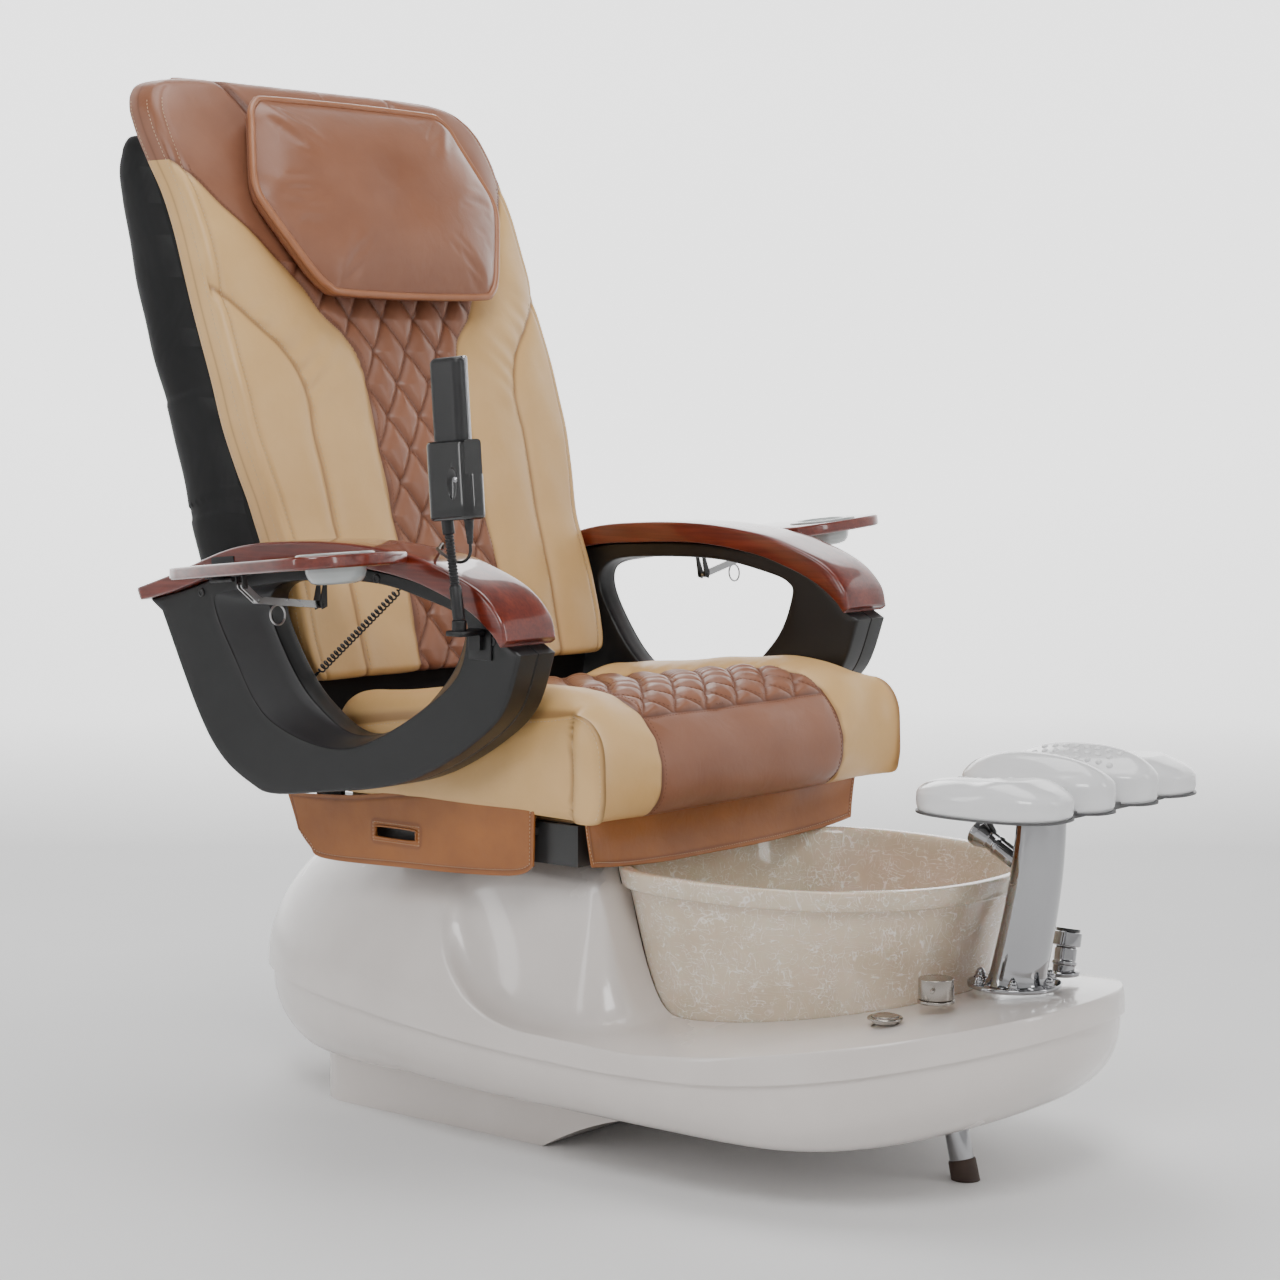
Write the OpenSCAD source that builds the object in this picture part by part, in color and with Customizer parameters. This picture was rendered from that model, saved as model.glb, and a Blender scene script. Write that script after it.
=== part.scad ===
// Pedicure spa chair: moulded base with a foot basin, footrest and taps,
// and a sliding, reclining massage chair with lifting arms and folding trays.
// Millimetres. x = 0 is the plane of symmetry, +X is the sitter's left,
// -Y is the front and z = 0 is the floor.

/* [Base] */
// Full width of the moulded base
base_w = 660; // [620:5:700]
// Reach of the base in front of the origin
base_front = 712; // [690:2:740]
// Reach of the base behind the origin
base_rear = 660; // [640:2:700]
// Height of the joint line between hull and upper shell at the middle
parting_h = 148; // [140:1:160]
// Height of the flat top that carries the chair
tower_h = 385; // [375:1:395]
// Width of the flat top that carries the chair
tower_w = 470; // [450:5:480]
// Width of the plinth that stands on the floor
plinth_w = 436; // [400:2:460]

/* [Basin] */
// Full width of the basin's rim
basin_w = 490; // [460:5:500]
// Reach of the basin in front of its centre
basin_front = 295; // [280:5:300]
// Reach of the basin behind its centre
basin_rear = 175; // [160:5:180]
// Gap between the basin's rim and the chair that slides over it
rim_gap = 5; // [4:1:10]
// Height of the basin's underside
basin_floor_h = 110; // [105:1:125]
// Wall of the basin
basin_wall = 8; // [6:0.5:10]

/* [Footrest] */
// Height of the footrest pads' tops
footrest_h = 530; // [500:5:560]
// Full width over the footrest pads
footrest_w = 412; // [380:4:440]
// Radius of the column's floor flange
flange_r = 58; // [54:1:62]
// Radius of the levelling foot's tube
foot_r = 15.5; // [13:0.5:18]

/* [Chair] */
// Full width of the seat cushion between the arms
seat_w = 596; // [560:4:598]
// Length of the seat's forward travel
slide_travel = 130; // [100:5:140]
// Height of the shared pivot of back and arms
pivot_h = 490; // [485:1:495]
// Distance of the shared pivot behind the origin
pivot_y = 330; // [326:1:336]
// Radius of the pivot shaft
pivot_r = 8; // [6:0.5:9]
// Thickness of the leather of the skirts and apron
leather_t = 3; // [2:0.5:4]
// Thickness of the side gusset between back cushion and rear cover
gusset_t = 50; // [40:2:56]

/* [Arms] */
// Width of the wooden arm tops
arm_w = 95; // [90:1:100]
// Width of the moulded arm frames
frame_w = 69; // [64:1:74]

/* [Trays] */
// Height of the trays' tops at the front
tray_h = 783; // [775:1:790]
// Thickness of the tray boards
tray_t = 16; // [12:1:18]
// Fall of the trays towards the rear, in degrees
tray_slope = 5.15; // [3:0.05:7]
// Upward tilt of the left tray in degrees, which rests level on the right
left_tilt = 4; // [0:0.5:6]
// Outer radius of the cup holder's ring
cup_ring_r = 49; // [45:1:52]
// Radius of the cup holder's cup
cup_r = 38; // [34:1:41]
// Depth of the cup below the tray board
cup_drop = 23; // [15:1:25]

/* [Remote] */
// Radius of the gooseneck over its ribs
neck_r = 6; // [5:0.5:7]
// Turns of the curly cord
curls = 24; // [12:1:30]
// Radius of the curly cord's helix
curl_r = 4.4; // [4:0.1:5.5]
// Diameter of the remote's lead
lead_d = 4; // [3.5:0.1:4.4]
// Diameter of the curly part of the cord
curl_d = 2.5; // [2:0.1:2.8]

/* [Hidden] */
$fn = 48;
seam = 0.3;      // clearance between parts that move past each other
fit = 0.05;      // radial clearance of a shaft in its bore
over = 1;        // how far a cutter runs past the face it cuts

arm_gap = 11;    // between the seat cushion and the wooden arms
arm_in = seat_w / 2 + arm_gap;
frame_in = arm_in + 10;

// ---- curves and lofts ----
function cr(a, b, c, d, t) = 0.5 * (2 * b + (c - a) * t + (2 * a - 5 * b + 4 * c - d) * t * t
    + (3 * b - a - 3 * c + d) * t * t * t);
// open smooth curve through the points p, k steps between two points
function curve(p, k) = [for (i = [0:len(p) - 2]) for (j = [0:k - 1])
    cr(p[max(i - 1, 0)], p[i], p[i + 1], p[min(i + 2, len(p) - 1)], j / k), p[len(p) - 1]];
// closed smooth curve through the points p
function ring(p, k) = let (n = len(p)) [for (i = [0:n - 1]) for (j = [0:k - 1])
    cr(p[(i + n - 1) % n], p[i], p[(i + 1) % n], p[(i + 2) % n], j / k)];
function reversed(p) = [for (i = [len(p) - 1:-1:0]) p[i]];
function unit(v) = v / max(norm(v), 1e-9);
// closed counter-clockwise outline moved inwards by d
function inset(p, d) = let (n = len(p)) [for (i = [0:n - 1])
    let (e = unit(p[(i + 1) % n] - p[(i + n - 1) % n])) p[i] + d * [-e[1], e[0]]];
function mean(p) = [for (k = [0:2]) [for (q = p) q[k]] * [for (q = p) 1] / len(p)];
// side faces of a loft of m rings of n points
function sides(n, m) = [for (i = [0:m - 2]) for (j = [0:n - 1])
    let (a = i * n + j, b = i * n + (j + 1) % n) each [[a, a + n, b + n], [a, b + n, b]]];
// loft through rings that run counter-clockwise seen from the last ring, closed with fans
module loft(rings) {
    n = len(rings[0]);
    m = len(rings);
    points = concat([for (r = rings) each r], [mean(rings[0]), mean(rings[m - 1])]);
    caps = [for (j = [0:n - 1]) each [[n * m, j, (j + 1) % n],
        [n * m + 1, (m - 1) * n + (j + 1) % n, (m - 1) * n + j]]];
    polyhedron(points, concat(sides(n, m), caps), convexity = 8);
}
// loft whose end caps are strips between points i and n - i; points 0 and n/2 stand alone
module strip_loft(rings) {
    n = len(rings[0]);
    m = len(rings);
    h = n / 2;
    function strip(o, up) = [for (i = [0:h - 1])
        let (a = o + i, b = o + i + 1, c = o + (n - i - 1) % n, d = o + (n - i) % n)
        each (i == 0 ? (up ? [[a, c, b]] : [[a, b, c]])
            : i == h - 1 ? (up ? [[a, d, b]] : [[a, b, d]])
            : (up ? [[a, d, c], [a, c, b]] : [[a, b, c], [a, c, d]]))];
    polyhedron([for (r = rings) each r],
        concat(sides(n, m), strip(0, false), strip((m - 1) * n, true)), convexity = 8);
}
// outline p = [[y, z], ...] placed at x
function at_x(p, x) = [for (q = p) [x, q[0], q[1]]];
function at_z(p, z) = [for (q = p) [q[0], q[1], z]];
// draws a left-hand piece on its own side, s = 1 left and s = -1 right
module side(s) { if (s > 0) children(); else mirror([1, 0, 0]) children(); }
module rod(r, x0, x1) { translate([x0, 0, 0]) rotate([0, 90, 0]) cylinder(r = r, h = x1 - x0); }
module block(lo, hi) { translate(lo) cube(hi - lo); }
// tube of n sides swept along a route of points, with rings square to the route
function frames(p) = [for (i = [0:len(p) - 1])
    unit(p[min(i + 1, len(p) - 1)] - p[max(i - 1, 0)])];
function carried(t, i = 0, v = [0.3, 0.2, 1], out = []) = i == len(t) ? out
    : let (u = unit(v - (v * t[i]) * t[i])) carried(t, i + 1, u, concat(out, [u]));
function tube_rings(p, r, n) = let (t = frames(p), u = carried(t)) [for (i = [0:len(p) - 1])
    let (w = cross(t[i], u[i]), ri = is_list(r) ? r[i] : r)
    [for (j = [0:n - 1]) p[i] + ri * (u[i] * cos(j * 360 / n) + w * sin(j * 360 / n))]];

// ---- base ----
base_half = base_w / 2;
front_semi = 392;
rear_semi = 645;
front_c = front_semi - base_front;
rear_c = base_rear - rear_semi;
front_power = 2.3;
arc_steps = 10;
side_steps = 15;
tail_steps = 12;
// half of the base's outline in plan, from the front tip to the rear tip
half_plan = concat(
    [for (i = [0:arc_steps - 1]) let (a = 90 * i / arc_steps)
        [base_half * pow(sin(a), 2 / front_power), front_c - front_semi * pow(cos(a), 2 / front_power)]],
    [for (i = [0:side_steps - 1]) [base_half, front_c + (rear_c - front_c) * i / side_steps]],
    [for (i = [0:tail_steps]) let (a = 90 * i / tail_steps)
        [i == tail_steps ? 0 : base_half * cos(a), rear_c + rear_semi * sin(a)]]);
plan = concat(half_plan, [for (i = [len(half_plan) - 2:-1:1]) [-half_plan[i][0], half_plan[i][1]]]);
// plan outline drawn in towards the spine of the base
function drawn_in(q, s) = let (c = min(max(q[1], front_c), rear_c)) [s * q[0], c + s * (q[1] - c)];
front_rise = 165;
rear_rise = 16;
function parting(y) = y < -front_rise ? parting_h + 0.00025 * pow(y + front_rise, 2)
    : parting_h + rear_rise * (1 - cos(min(180, (y + front_rise) / 535 * 180))) / 2;
dome_h = 304;    // bulge of the shell above the joint line if nothing cut it
crown_h = 25;    // crown of the deck round the basin
function deck_edge(y) = y < -225 ? 176 + 74 * pow((-y - 225) / 477, 1.35)
    : y < -100 ? 176 + 2 * (y + 225) / 125
    : let (t = (y + 100) / 204) 178 + 100 * pow(t, 3) + 250 * max(0, t - 1);
flare_side = 80;
flare_front = 100;
tower_y = -110;  // front edge of the flat top
// height of the upper shell over the point q of the plan, s = 1 on the outline
function shell_z(q, s) = let (
    dome = parting(q[1]) + dome_h * sqrt(max(0, 1 - s * s)),
    deck = deck_edge(q[1]) + crown_h * (1 - pow(s, 4)),
    dx = max(abs(q[0]) - tower_w / 2, 0) / flare_side,
    dy = max(tower_y - q[1], 0) / flare_front,
    flare = pow(max(0, 1 - sqrt(dx * dx + dy * dy)), 2.2))
    min(dome, deck + (tower_h - deck) * flare, tower_h);
function shell_ring(s) = [for (p = plan) let (q = drawn_in(p, s))
    [q[0], q[1], s == 1 ? parting(q[1]) : shell_z(q, s)]];
shell_steps = [1, 0.9985, 0.993, 0.98, 0.96, 0.93, 0.88, 0.82, 0.75, 0.69, 0.5, 0.3];

// hull below the joint line, on a raised bottom that falls towards the rear
function hull_floor(y) = y < 200 ? 70 + 64 * pow(max(0, (-y - 400) / 290), 2) : y > 450 ? 45
    : 70 - 25 * (y - 200) / 250;
function hull_ring(v) = [for (p = plan) let (q = drawn_in(p, 0.985 - 0.25 * pow(1 - cos(v), 1.3)))
    [q[0], q[1], parting(q[1]) - (parting(q[1]) - hull_floor(q[1])) * max(sin(v), 0.03)]];
hull_steps = [90, 78, 64, 50, 36, 22, 9, 0];

// superellipse in plan with a front and a rear half
function basin_plan(s, grow, n) = [for (i = [0:n - 1]) let (a = 360 * i / n, c = cos(a), d = sin(a),
    e = d < 0 ? 2.3 : 2.6, b = d < 0 ? basin_front : basin_rear)
    [(basin_w / 2 * s + grow) * sign(c) * pow(abs(c), 2 / e),
     basin_y + (b * s + grow) * sign(d) * pow(abs(d), 2 / e)]];
basin_y = -250;
carriage_gap = 3;      // between the flat top and the seat box
rim_h = tower_h + carriage_gap - rim_gap;
basin_draft = 0.26;
function basin_s(z) = 1 - basin_draft * (rim_h - z) / (rim_h - basin_floor_h);
basin_points = 40;
basin_lift = [0, 6, 25, 70, 130, 190, 245];
function basin_ring(z, grow) = at_z(basin_plan(basin_s(z), grow, basin_points), z);
lip_h = 27;
lip_out = 9;
pocket_gap = 1.2;
basin_foot = 6;        // how far the basin's bottom edge is rounded in

module basin_pocket() {
    loft([for (d = [0, 6, 70, 150, 290]) basin_ring(basin_floor_h + d, (d == 0 ? -basin_foot : 0) + pocket_gap)]);
}
bay_lo = [-150, 60, 90];
bay_hi = [150, 400, 325];
sump_lo = [-100, 250, 12];
sump_hi = [100, 400, 100];
jet_at = [0, -103, 215];
jet_tilt = 9.3;
tunnel_r = 46;
module jet_axis() { translate(jet_at) rotate([-90 - jet_tilt, 0, 0]) children(); }
module equipment_space() {
    block(bay_lo, bay_hi);
    block(sump_lo, sump_hi);
    jet_axis() cylinder(r = tunnel_r, h = bay_lo[1] - jet_at[1] + 40);
}
drain_at = [0, -400];
drain_r = 19;
tail_r = 18;           // waste tail below the basin
tail_len = 40;
tail_low = 60;
foot_at = [0, -512];
foot_lean = 13;
foot_seat_h = 100;
module base_hull() {
    color("whitesmoke") difference() {
        union() {
            strip_loft(concat([for (v = hull_steps) hull_ring(v)], [shell_ring(1)]));
            plinth();
        }
        basin_pocket();
        equipment_space();
        translate([drain_at[0], drain_at[1], -over]) cylinder(r = drain_r + 3, h = basin_floor_h + 20);
        foot_axis() cylinder(r = foot_r, h = foot_len);
        for (s = [-1, 1]) translate([s * pipe_x, sump_hi[1] - over, pipe_z])
            rotate([-90, 0, 0]) cylinder(r = pipe_r, h = 60);
    }
}
plinth_front = 0;
plinth_rear = 430;
plinth_corner = 60;
toe_run = 250;
toe_h = 71;
module plinth() {
    intersection() {
        translate([-plinth_w / 2, 0, 0]) rotate([90, 0, 90]) linear_extrude(plinth_w)
            polygon(concat([[plinth_rear, 0], [plinth_rear, 82], [-toe_run, 82]],
                [for (t = [1:-0.125:0]) [plinth_front - toe_run * t, toe_h * (1 - pow(1 - t, 2))]]));
        translate([0, 0, -over]) linear_extrude(90) union() {
            translate([-plinth_w / 2, -toe_run - over])
                square([plinth_w, plinth_rear + toe_run + over - plinth_corner]);
            translate([-plinth_w / 2 + plinth_corner, 0])
                square([plinth_w - 2 * plinth_corner, plinth_rear]);
            for (s = [-1, 1]) translate([s * (plinth_w / 2 - plinth_corner), plinth_rear - plinth_corner])
                circle(r = plinth_corner);
        }
    }
}

deck_seat_h = 254;     // flat seat of the column's flange
column_at = [0, -580];
faucet_at = [113, -580];
mixer_at = [-127, -550];
button_at = [-190, -520];
fitting_h = 250;
button_h = 237;
button_r = 21.5;
module base_shell() {
    color("whitesmoke") difference() {
        union() {
            strip_loft([for (s = shell_steps) shell_ring(s)]);
            translate([column_at[0], column_at[1], deck_seat_h - 40]) cylinder(r = flange_r + 6, h = 40);
            translate([faucet_at[0], faucet_at[1], fitting_h - 30]) cylinder(r = 23, h = 30);
            translate([mixer_at[0], mixer_at[1], fitting_h - 30]) cylinder(r = 25, h = 30);
            translate([button_at[0], button_at[1], button_h - 30]) cylinder(r = button_r + 4, h = 30);
        }
        basin_pocket();
        loft([for (z = [rim_h - lip_h - seam, tower_h + 20]) basin_ring(z, lip_out + pocket_gap)]);
        equipment_space();
        translate([button_at[0], button_at[1], button_h - 14]) cylinder(r = button_r - 5, h = 30);
    }
}

// ---- basin ----
module basin() {
    inner = basin_floor_h + basin_wall;
    outer_rings = [for (d = basin_lift) basin_ring(basin_floor_h + d, d == 0 ? -basin_foot : 0)];
    lip_rings = [basin_ring(rim_h - lip_h, 0), basin_ring(rim_h - lip_h + 1, lip_out),
        basin_ring(rim_h - 2, lip_out), basin_ring(rim_h, lip_out - 2)];
    inner_rings = [basin_ring(rim_h, -basin_wall + 3), for (z = [rim_h - 3, 320, 250, 190, inner + 25, inner + 5])
        basin_ring(z, -basin_wall), basin_ring(inner, -basin_wall - 7)];
    color("antiquewhite") difference() {
        loft(concat(outer_rings, lip_rings, inner_rings));
        translate([drain_at[0], drain_at[1], basin_floor_h - 5]) cylinder(r = drain_r + 0.5, h = 40);
        jet_axis() translate([0, 0, -jet_seat - 40]) cylinder(r = jet_r + 0.5, h = 40);
    }
}
strainer_r = 30;
module basin_drain() {
    floor_top = basin_floor_h + basin_wall;
    color("silver") translate([drain_at[0], drain_at[1], 0]) {
        difference() {
            union() {
                translate([0, 0, floor_top]) cylinder(r = strainer_r, h = 3);
                translate([0, 0, tail_low + tail_len]) cylinder(r = drain_r, h = floor_top - tail_low - tail_len);
                translate([0, 0, tail_low]) cylinder(r = tail_r, h = tail_len);
            }
            translate([0, 0, tail_low - over]) cylinder(r = tail_r - 3, h = floor_top - tail_low + over);
            for (i = [0:7]) rotate(i * 45) translate([11, 0, floor_top - over]) cylinder(r = 2.5, h = 10);
        }
        translate([0, 0, basin_floor_h - 6]) difference() {
            cylinder(r = drain_r + 2.8, h = 6);
            translate([0, 0, -over]) cylinder(r = drain_r, h = 10);
        }
    }
}
// whirlpool jet: a magnet-driven impeller under a slotted cover on the basin's wall
jet_r = 44;
jet_seat = 5;
jet_depth = 24;
impeller_r = 33;
module jet_cover() {
    color("gainsboro") jet_axis() translate([0, 0, -jet_seat - jet_depth]) difference() {
        cylinder(r = jet_r, h = jet_depth);
        translate([0, 0, 3]) cylinder(r = jet_r - 4, h = jet_depth - 6);
        for (i = [0:11]) rotate(i * 30) translate([18, -2, -over]) cube([14, 4, 5]);
        for (i = [0:5]) rotate(i * 60) translate([jet_r - 10, -7, 8]) cube([20, 14, 8]);
    }
    color("gainsboro") jet_axis() translate([0, 0, -jet_seat - 16]) cylinder(r = 4, h = 13);
}
module jet_impeller() {
    color("dimgray") jet_axis() translate([0, 0, -jet_seat - 16]) difference() {
        union() {
            translate([0, 0, 8]) cylinder(r = impeller_r, h = 4);
            cylinder(r = 9, h = 8);
            for (i = [0:5]) rotate(i * 60) translate([8, -1.5, 0]) cube([impeller_r - 10, 3, 8]);
        }
        translate([0, 0, -over]) cylinder(r = 4 + fit, h = 20);
    }
}
module jet_motor() {
    color("dimgray") jet_axis() translate([0, 0, basin_wall + 6]) {
        cylinder(r = tunnel_r - 6, h = 8);
        translate([0, 0, 8]) cylinder(r = tunnel_r, h = 6);
        translate([0, 0, 14]) cylinder(r = 36, h = 95);
    }
}

// ---- footrest ----
column_bow = 33;
column_low = deck_seat_h + 6;
plate_h = 8;
pad_base = footrest_h - 38;
column_top = pad_base - plate_h;
function column_ring(t) = let (z = column_low + (column_top - column_low) * t)
    [for (i = [0:23]) let (a = 15 * i)
        [(42 - 6 * t) * cos(a), column_at[1] - 3 - column_bow * sin(90 * t) + (33 - 6 * t) * sin(a), z]];
module footrest_column() {
    color("silver") {
        difference() {
            union() {
                translate([column_at[0], column_at[1], deck_seat_h]) cylinder(r = flange_r, h = 6);
                loft([for (t = [0:0.125:1]) column_ring(t)]);
            }
            spray_axis() translate([0, 0, -60]) cylinder(r = spray_r + 0.5, h = 120);
        }
        for (i = [0:5]) rotate_about(column_at, 30 + i * 60) translate([flange_r - 9, 0, column_low]) {
            cylinder(r = 6.5, h = 6, $fn = 6);
            translate([0, 0, 6]) difference() {
                sphere(r = 5.2);
                translate([0, 0, -8]) cube(16, center = true);
            }
        }
    }
}
module rotate_about(c, a) { translate([c[0], c[1], 0]) rotate(a) children(); }
footrest_y = -655;
footrest_half = 98;    // half of the pads' length from front to rear
// a smooth pad: rounded plan, domed top, cut flat at the bottom
function pad_ring(cx, cy, hx, hy, z) = [for (i = [0:23]) let (a = 15 * i, c = cos(a), d = sin(a))
    [cx + hx * sign(c) * pow(abs(c), 0.8), cy + hy * sign(d) * pow(abs(d), 0.8), z]];
module domed_pad(cx, cy, hx, hy, z0, z1) {
    rise = z1 - z0;
    loft([for (k = [[0.93, 0], [1, 0.28], [1, 0.45], [0.95, 0.68], [0.84, 0.85], [0.62, 0.96], [0.3, 1]])
        pad_ring(cx, cy, hx * k[0], hy * k[0], z0 + rise * k[1])]);
}
module footrest_plate() {
    color("dimgray") difference() {
        block([-150, footrest_y - 60, column_top], [150, footrest_y + 60, pad_base]);
        for (s = [-1, 1]) for (d = [-1, 1]) translate([s * 150, footrest_y + d * 60, column_top - over])
            cylinder(r = 30, h = plate_h + 2 * over);
    }
}
module footrest_pads() {
    half = footrest_w / 2;
    color("white") union() {
        for (s = [-1, 1]) {
            domed_pad(s * (half - 62), footrest_y, 62, footrest_half, pad_base, footrest_h);
            domed_pad(s * 50, footrest_y - 2, 46, footrest_half + 3, pad_base, footrest_h + 22);
        }
    }
}
foot_len = 124;
foot_tip_len = 46;
module foot_axis() {
    translate([foot_at[0], foot_at[1], 0]) rotate([-foot_lean, 0, 0]) translate([0, 0, -20]) children();
}
module foot_tube() {
    color("silver") intersection() {
        foot_axis() translate([0, 0, foot_tip_len]) cylinder(r = foot_r, h = foot_len - foot_tip_len);
        block([-60, -700, 0], [60, -400, foot_seat_h + 30]);
    }
}
module foot_tip() {
    color("black") intersection() {
        foot_axis() cylinder(r = foot_r + 2.5, h = foot_tip_len);
        block([-60, -700, 0], [60, -400, 120]);
    }
}

// ---- taps and controls ----
faucet_lean = 12;
module faucet_axis() {
    translate([faucet_at[0], faucet_at[1], fitting_h]) rotate([0, faucet_lean, 0]) children();
}
module faucet_body() {
    color("silver") difference() {
        union() {
            translate([faucet_at[0], faucet_at[1], fitting_h]) cylinder(r = 21, h = 7);
            intersection() {
                faucet_axis() cylinder(r = 14, h = 36);
                block([0, -700, fitting_h], [300, -400, 400]);
            }
        }
        faucet_axis() translate([0, 0, 28]) cylinder(r = 6 + fit, h = 20);
    }
}
module faucet_handle() {
    color("silver") faucet_axis() {
        translate([0, 0, 29]) cylinder(r = 6, h = 8);
        translate([0, 0, 36 + seam]) cylinder(r = 18, h = 18);
        translate([0, 0, 54 + seam]) cylinder(r = 15.5, h = 5);
    }
}
module mixer_base() {
    color("silver") translate([mixer_at[0], mixer_at[1], fitting_h]) difference() {
        cylinder(r = 22.5, h = 5);
        translate([0, 0, -over]) cylinder(r = 6 + fit, h = 10);
    }
}
module mixer_knob() {
    color("silver") translate([mixer_at[0], mixer_at[1], fitting_h]) {
        translate([0, 0, 0.5]) cylinder(r = 6, h = 6);
        translate([0, 0, 5 + seam]) cylinder(r = 21.5, h = 25);
        translate([0, 0, 20]) rotate([0, 90, 205]) cylinder(r = 2.6, h = 33);
    }
}
module button_collar() {
    color("silver") translate([button_at[0], button_at[1], button_h]) difference() {
        cylinder(r = button_r, h = 3);
        translate([0, 0, -over]) cylinder(r = button_r - 5, h = 10);
    }
}
button_travel = 3;
module jet_button() {
    color("gainsboro") translate([button_at[0], button_at[1], button_h - 4]) {
        cylinder(r = button_r - 5.3, h = 8);
        translate([0, 0, 8]) cylinder(r1 = button_r - 5.3, r2 = button_r - 9, h = 2);
    }
}
spray_r = 12;
spray_tilt = 60;
spray_y = -556;
module spray_axis() {
    translate([0, spray_y, column_top - 60]) rotate([-spray_tilt, 0, 0]) children();
}
module spray_head() {
    color("silver") spray_axis() {
        translate([0, 0, -36]) cylinder(r = spray_r, h = 50);
        translate([0, 0, 14]) cylinder(r1 = spray_r, r2 = 19, h = 14);
        translate([0, 0, 28]) cylinder(r = 19, h = 9);
    }
}

// ---- slides and water ----
rail_x = 150;
rail_y0 = -90;
rail_y1 = 330;
channel_w = 40;
runner_w = 32;
beam = 22;             // depth and width of the carriage's beams
frame_low = tower_h + 33;
frame_high = frame_low + beam;
module slide_channels() {
    color("gray") for (s = [-1, 1]) translate([s * rail_x, 0, tower_h]) difference() {
        block([-channel_w / 2, rail_y0, 0], [channel_w / 2, rail_y1, 16]);
        block([-runner_w / 2 - 0.5, rail_y0 - over, 3], [runner_w / 2 + 0.5, rail_y1 + over, 20]);
    }
}
module slide_runners() {
    color("silver") for (s = [-1, 1]) translate([s * rail_x, 0, 0])
        block([-runner_w / 2, rail_y0, tower_h + 3.5], [runner_w / 2, rail_y1 - 10, frame_low]);
}
pipe_x = 60;
pipe_z = 25;
pipe_r = 10.5;
pipe_out = 432;        // where the pipes leave the plinth
pipe_tail = 24;
module water_pipes() {
    valve_y = 330;
    color("goldenrod") {
        for (s = [-1, 1]) {
            translate([s * pipe_x, valve_y, pipe_z]) rotate([-90, 0, 0]) cylinder(r = pipe_r, h = pipe_out - valve_y);
            translate([s * pipe_x, pipe_out, pipe_z]) rotate([-90, 0, 0]) cylinder(r = pipe_r - 1, h = pipe_tail);
            translate([s * pipe_x, valve_y, pipe_z - 5]) cylinder(r = pipe_r, h = 150);
        }
        block([-pipe_x - 22, valve_y - 24, pipe_z + 145], [pipe_x + 22, valve_y + 24, pipe_z + 185]);
        translate([0, valve_y - 23, pipe_z + 165]) rotate([90, 0, 0]) cylinder(r = 14, h = 50);
    }
}

// ---- carriage: everything that slides as one ----
box_half = seat_w / 2 - 13;
plate_in = box_half - 11;
plate_t = 7;
module carriage_frame() {
    color("dimgray") {
        for (s = [-1, 1]) side(s) {
            block([rail_x - 15, rail_y0, frame_low], [rail_x + 15, rail_y1 - 10, frame_high]);
            difference() {
                union() {
                    block([plate_in - beam, -100, frame_low], [plate_in, pivot_y + 18, frame_high]);
                    translate([plate_in, 0, 0]) rotate([90, 0, 90]) linear_extrude(plate_t) union() {
                        translate([pivot_y - 28, frame_low]) square([48, pivot_h - frame_low]);
                        translate([pivot_y, pivot_h]) circle(r = 20);
                    }
                }
                translate([0, pivot_y, pivot_h]) rod(pivot_r, plate_in - beam - over, plate_in + plate_t + over);
            }
            block([12, actuator_y - 11, actuator_z - 8], [16, actuator_y + 11, frame_low]);
        }
        for (y = [actuator_y - beam / 2, 200])
            block([-plate_in + beam, y, frame_low], [plate_in - beam, y + beam, frame_high]);
        translate([0, actuator_y, actuator_z]) rod(4, -16, 16);
    }
}
module pivot_shaft() {
    color("silver") translate([0, pivot_y, pivot_h])
        rod(pivot_r, -frame_in - shaft_bite, frame_in + shaft_bite);
}
shaft_bite = 26;
box_wall = 4;
box_low = tower_h + carriage_gap;
box_front = -120;
pan_low = frame_high;
pan_t = 12;
module seat_box() {
    color("black") {
        for (s = [-1, 1]) side(s) {
            block([box_half - box_wall, box_front, box_low], [box_half, pivot_y + 15, pan_low]);
            block([box_half, -55, frame_low + 6], [skirt_x, pivot_y + 15, frame_low + 14]);
        }
        block([-box_half + box_wall, box_front, box_low], [box_half - box_wall, box_front + box_wall, pan_low]);
        block([45 - box_half, apron_front + leather_t, pan_low - 10], [box_half - 45, box_front, pan_low]);
    }
}
skirt_x = seat_w / 2 + 0.5;
skirt_outline = concat(
    curve([[385, 439], [259, 447], [155, 462], [87, 467], [-62, 469]], 3),
    curve([[-59, 385], [-18, 369], [156, 360], [311, 357], [341, 371], [362, 390]], 3));
slot_lo = [142, 395];
slot_hi = [218, 412];
module skirt(s) {
    color("sienna") side(s) translate([skirt_x, 0, 0]) rotate([90, 0, 90]) linear_extrude(leather_t)
        difference() {
            polygon(skirt_outline);
            translate(slot_lo) square(slot_hi - slot_lo);
        }
}
module skirt_left() { skirt(1); }
module skirt_right() { skirt(-1); }
// leather flap across the front, wrapped round the corners of the box
apron_front = box_front - 14;
apron_line = curve([[box_half + 11, -92], [box_half + 9.5, -112], [box_half + 2, -127],
    [box_half - 17, apron_front + 0.5], [box_half - 35, apron_front], [box_half - 45, apron_front],
    [box_half - 85, apron_front], [box_half - 185, apron_front], [0, apron_front]], 3);
apron_outer = concat([for (q = apron_line) [-q[0], q[1]]], [for (i = [len(apron_line) - 2:-1:0]) apron_line[i]]);
module seat_apron() {
    n = len(apron_outer) - 1;
    inner = [for (i = [0:n]) let (e = unit(apron_outer[min(i + 1, n)] - apron_outer[max(i - 1, 0)]))
        apron_outer[i] + leather_t * [-e[1], e[0]]];
    color("sienna") translate([0, 0, box_low]) linear_extrude(pan_low - box_low)
        polygon(concat(apron_outer, reversed(inner)));
}
module seat_pan() {
    color("burlywood") block([17 - box_half, -108, pan_low], [box_half - 17, 294, pan_low + pan_t]);
}

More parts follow.
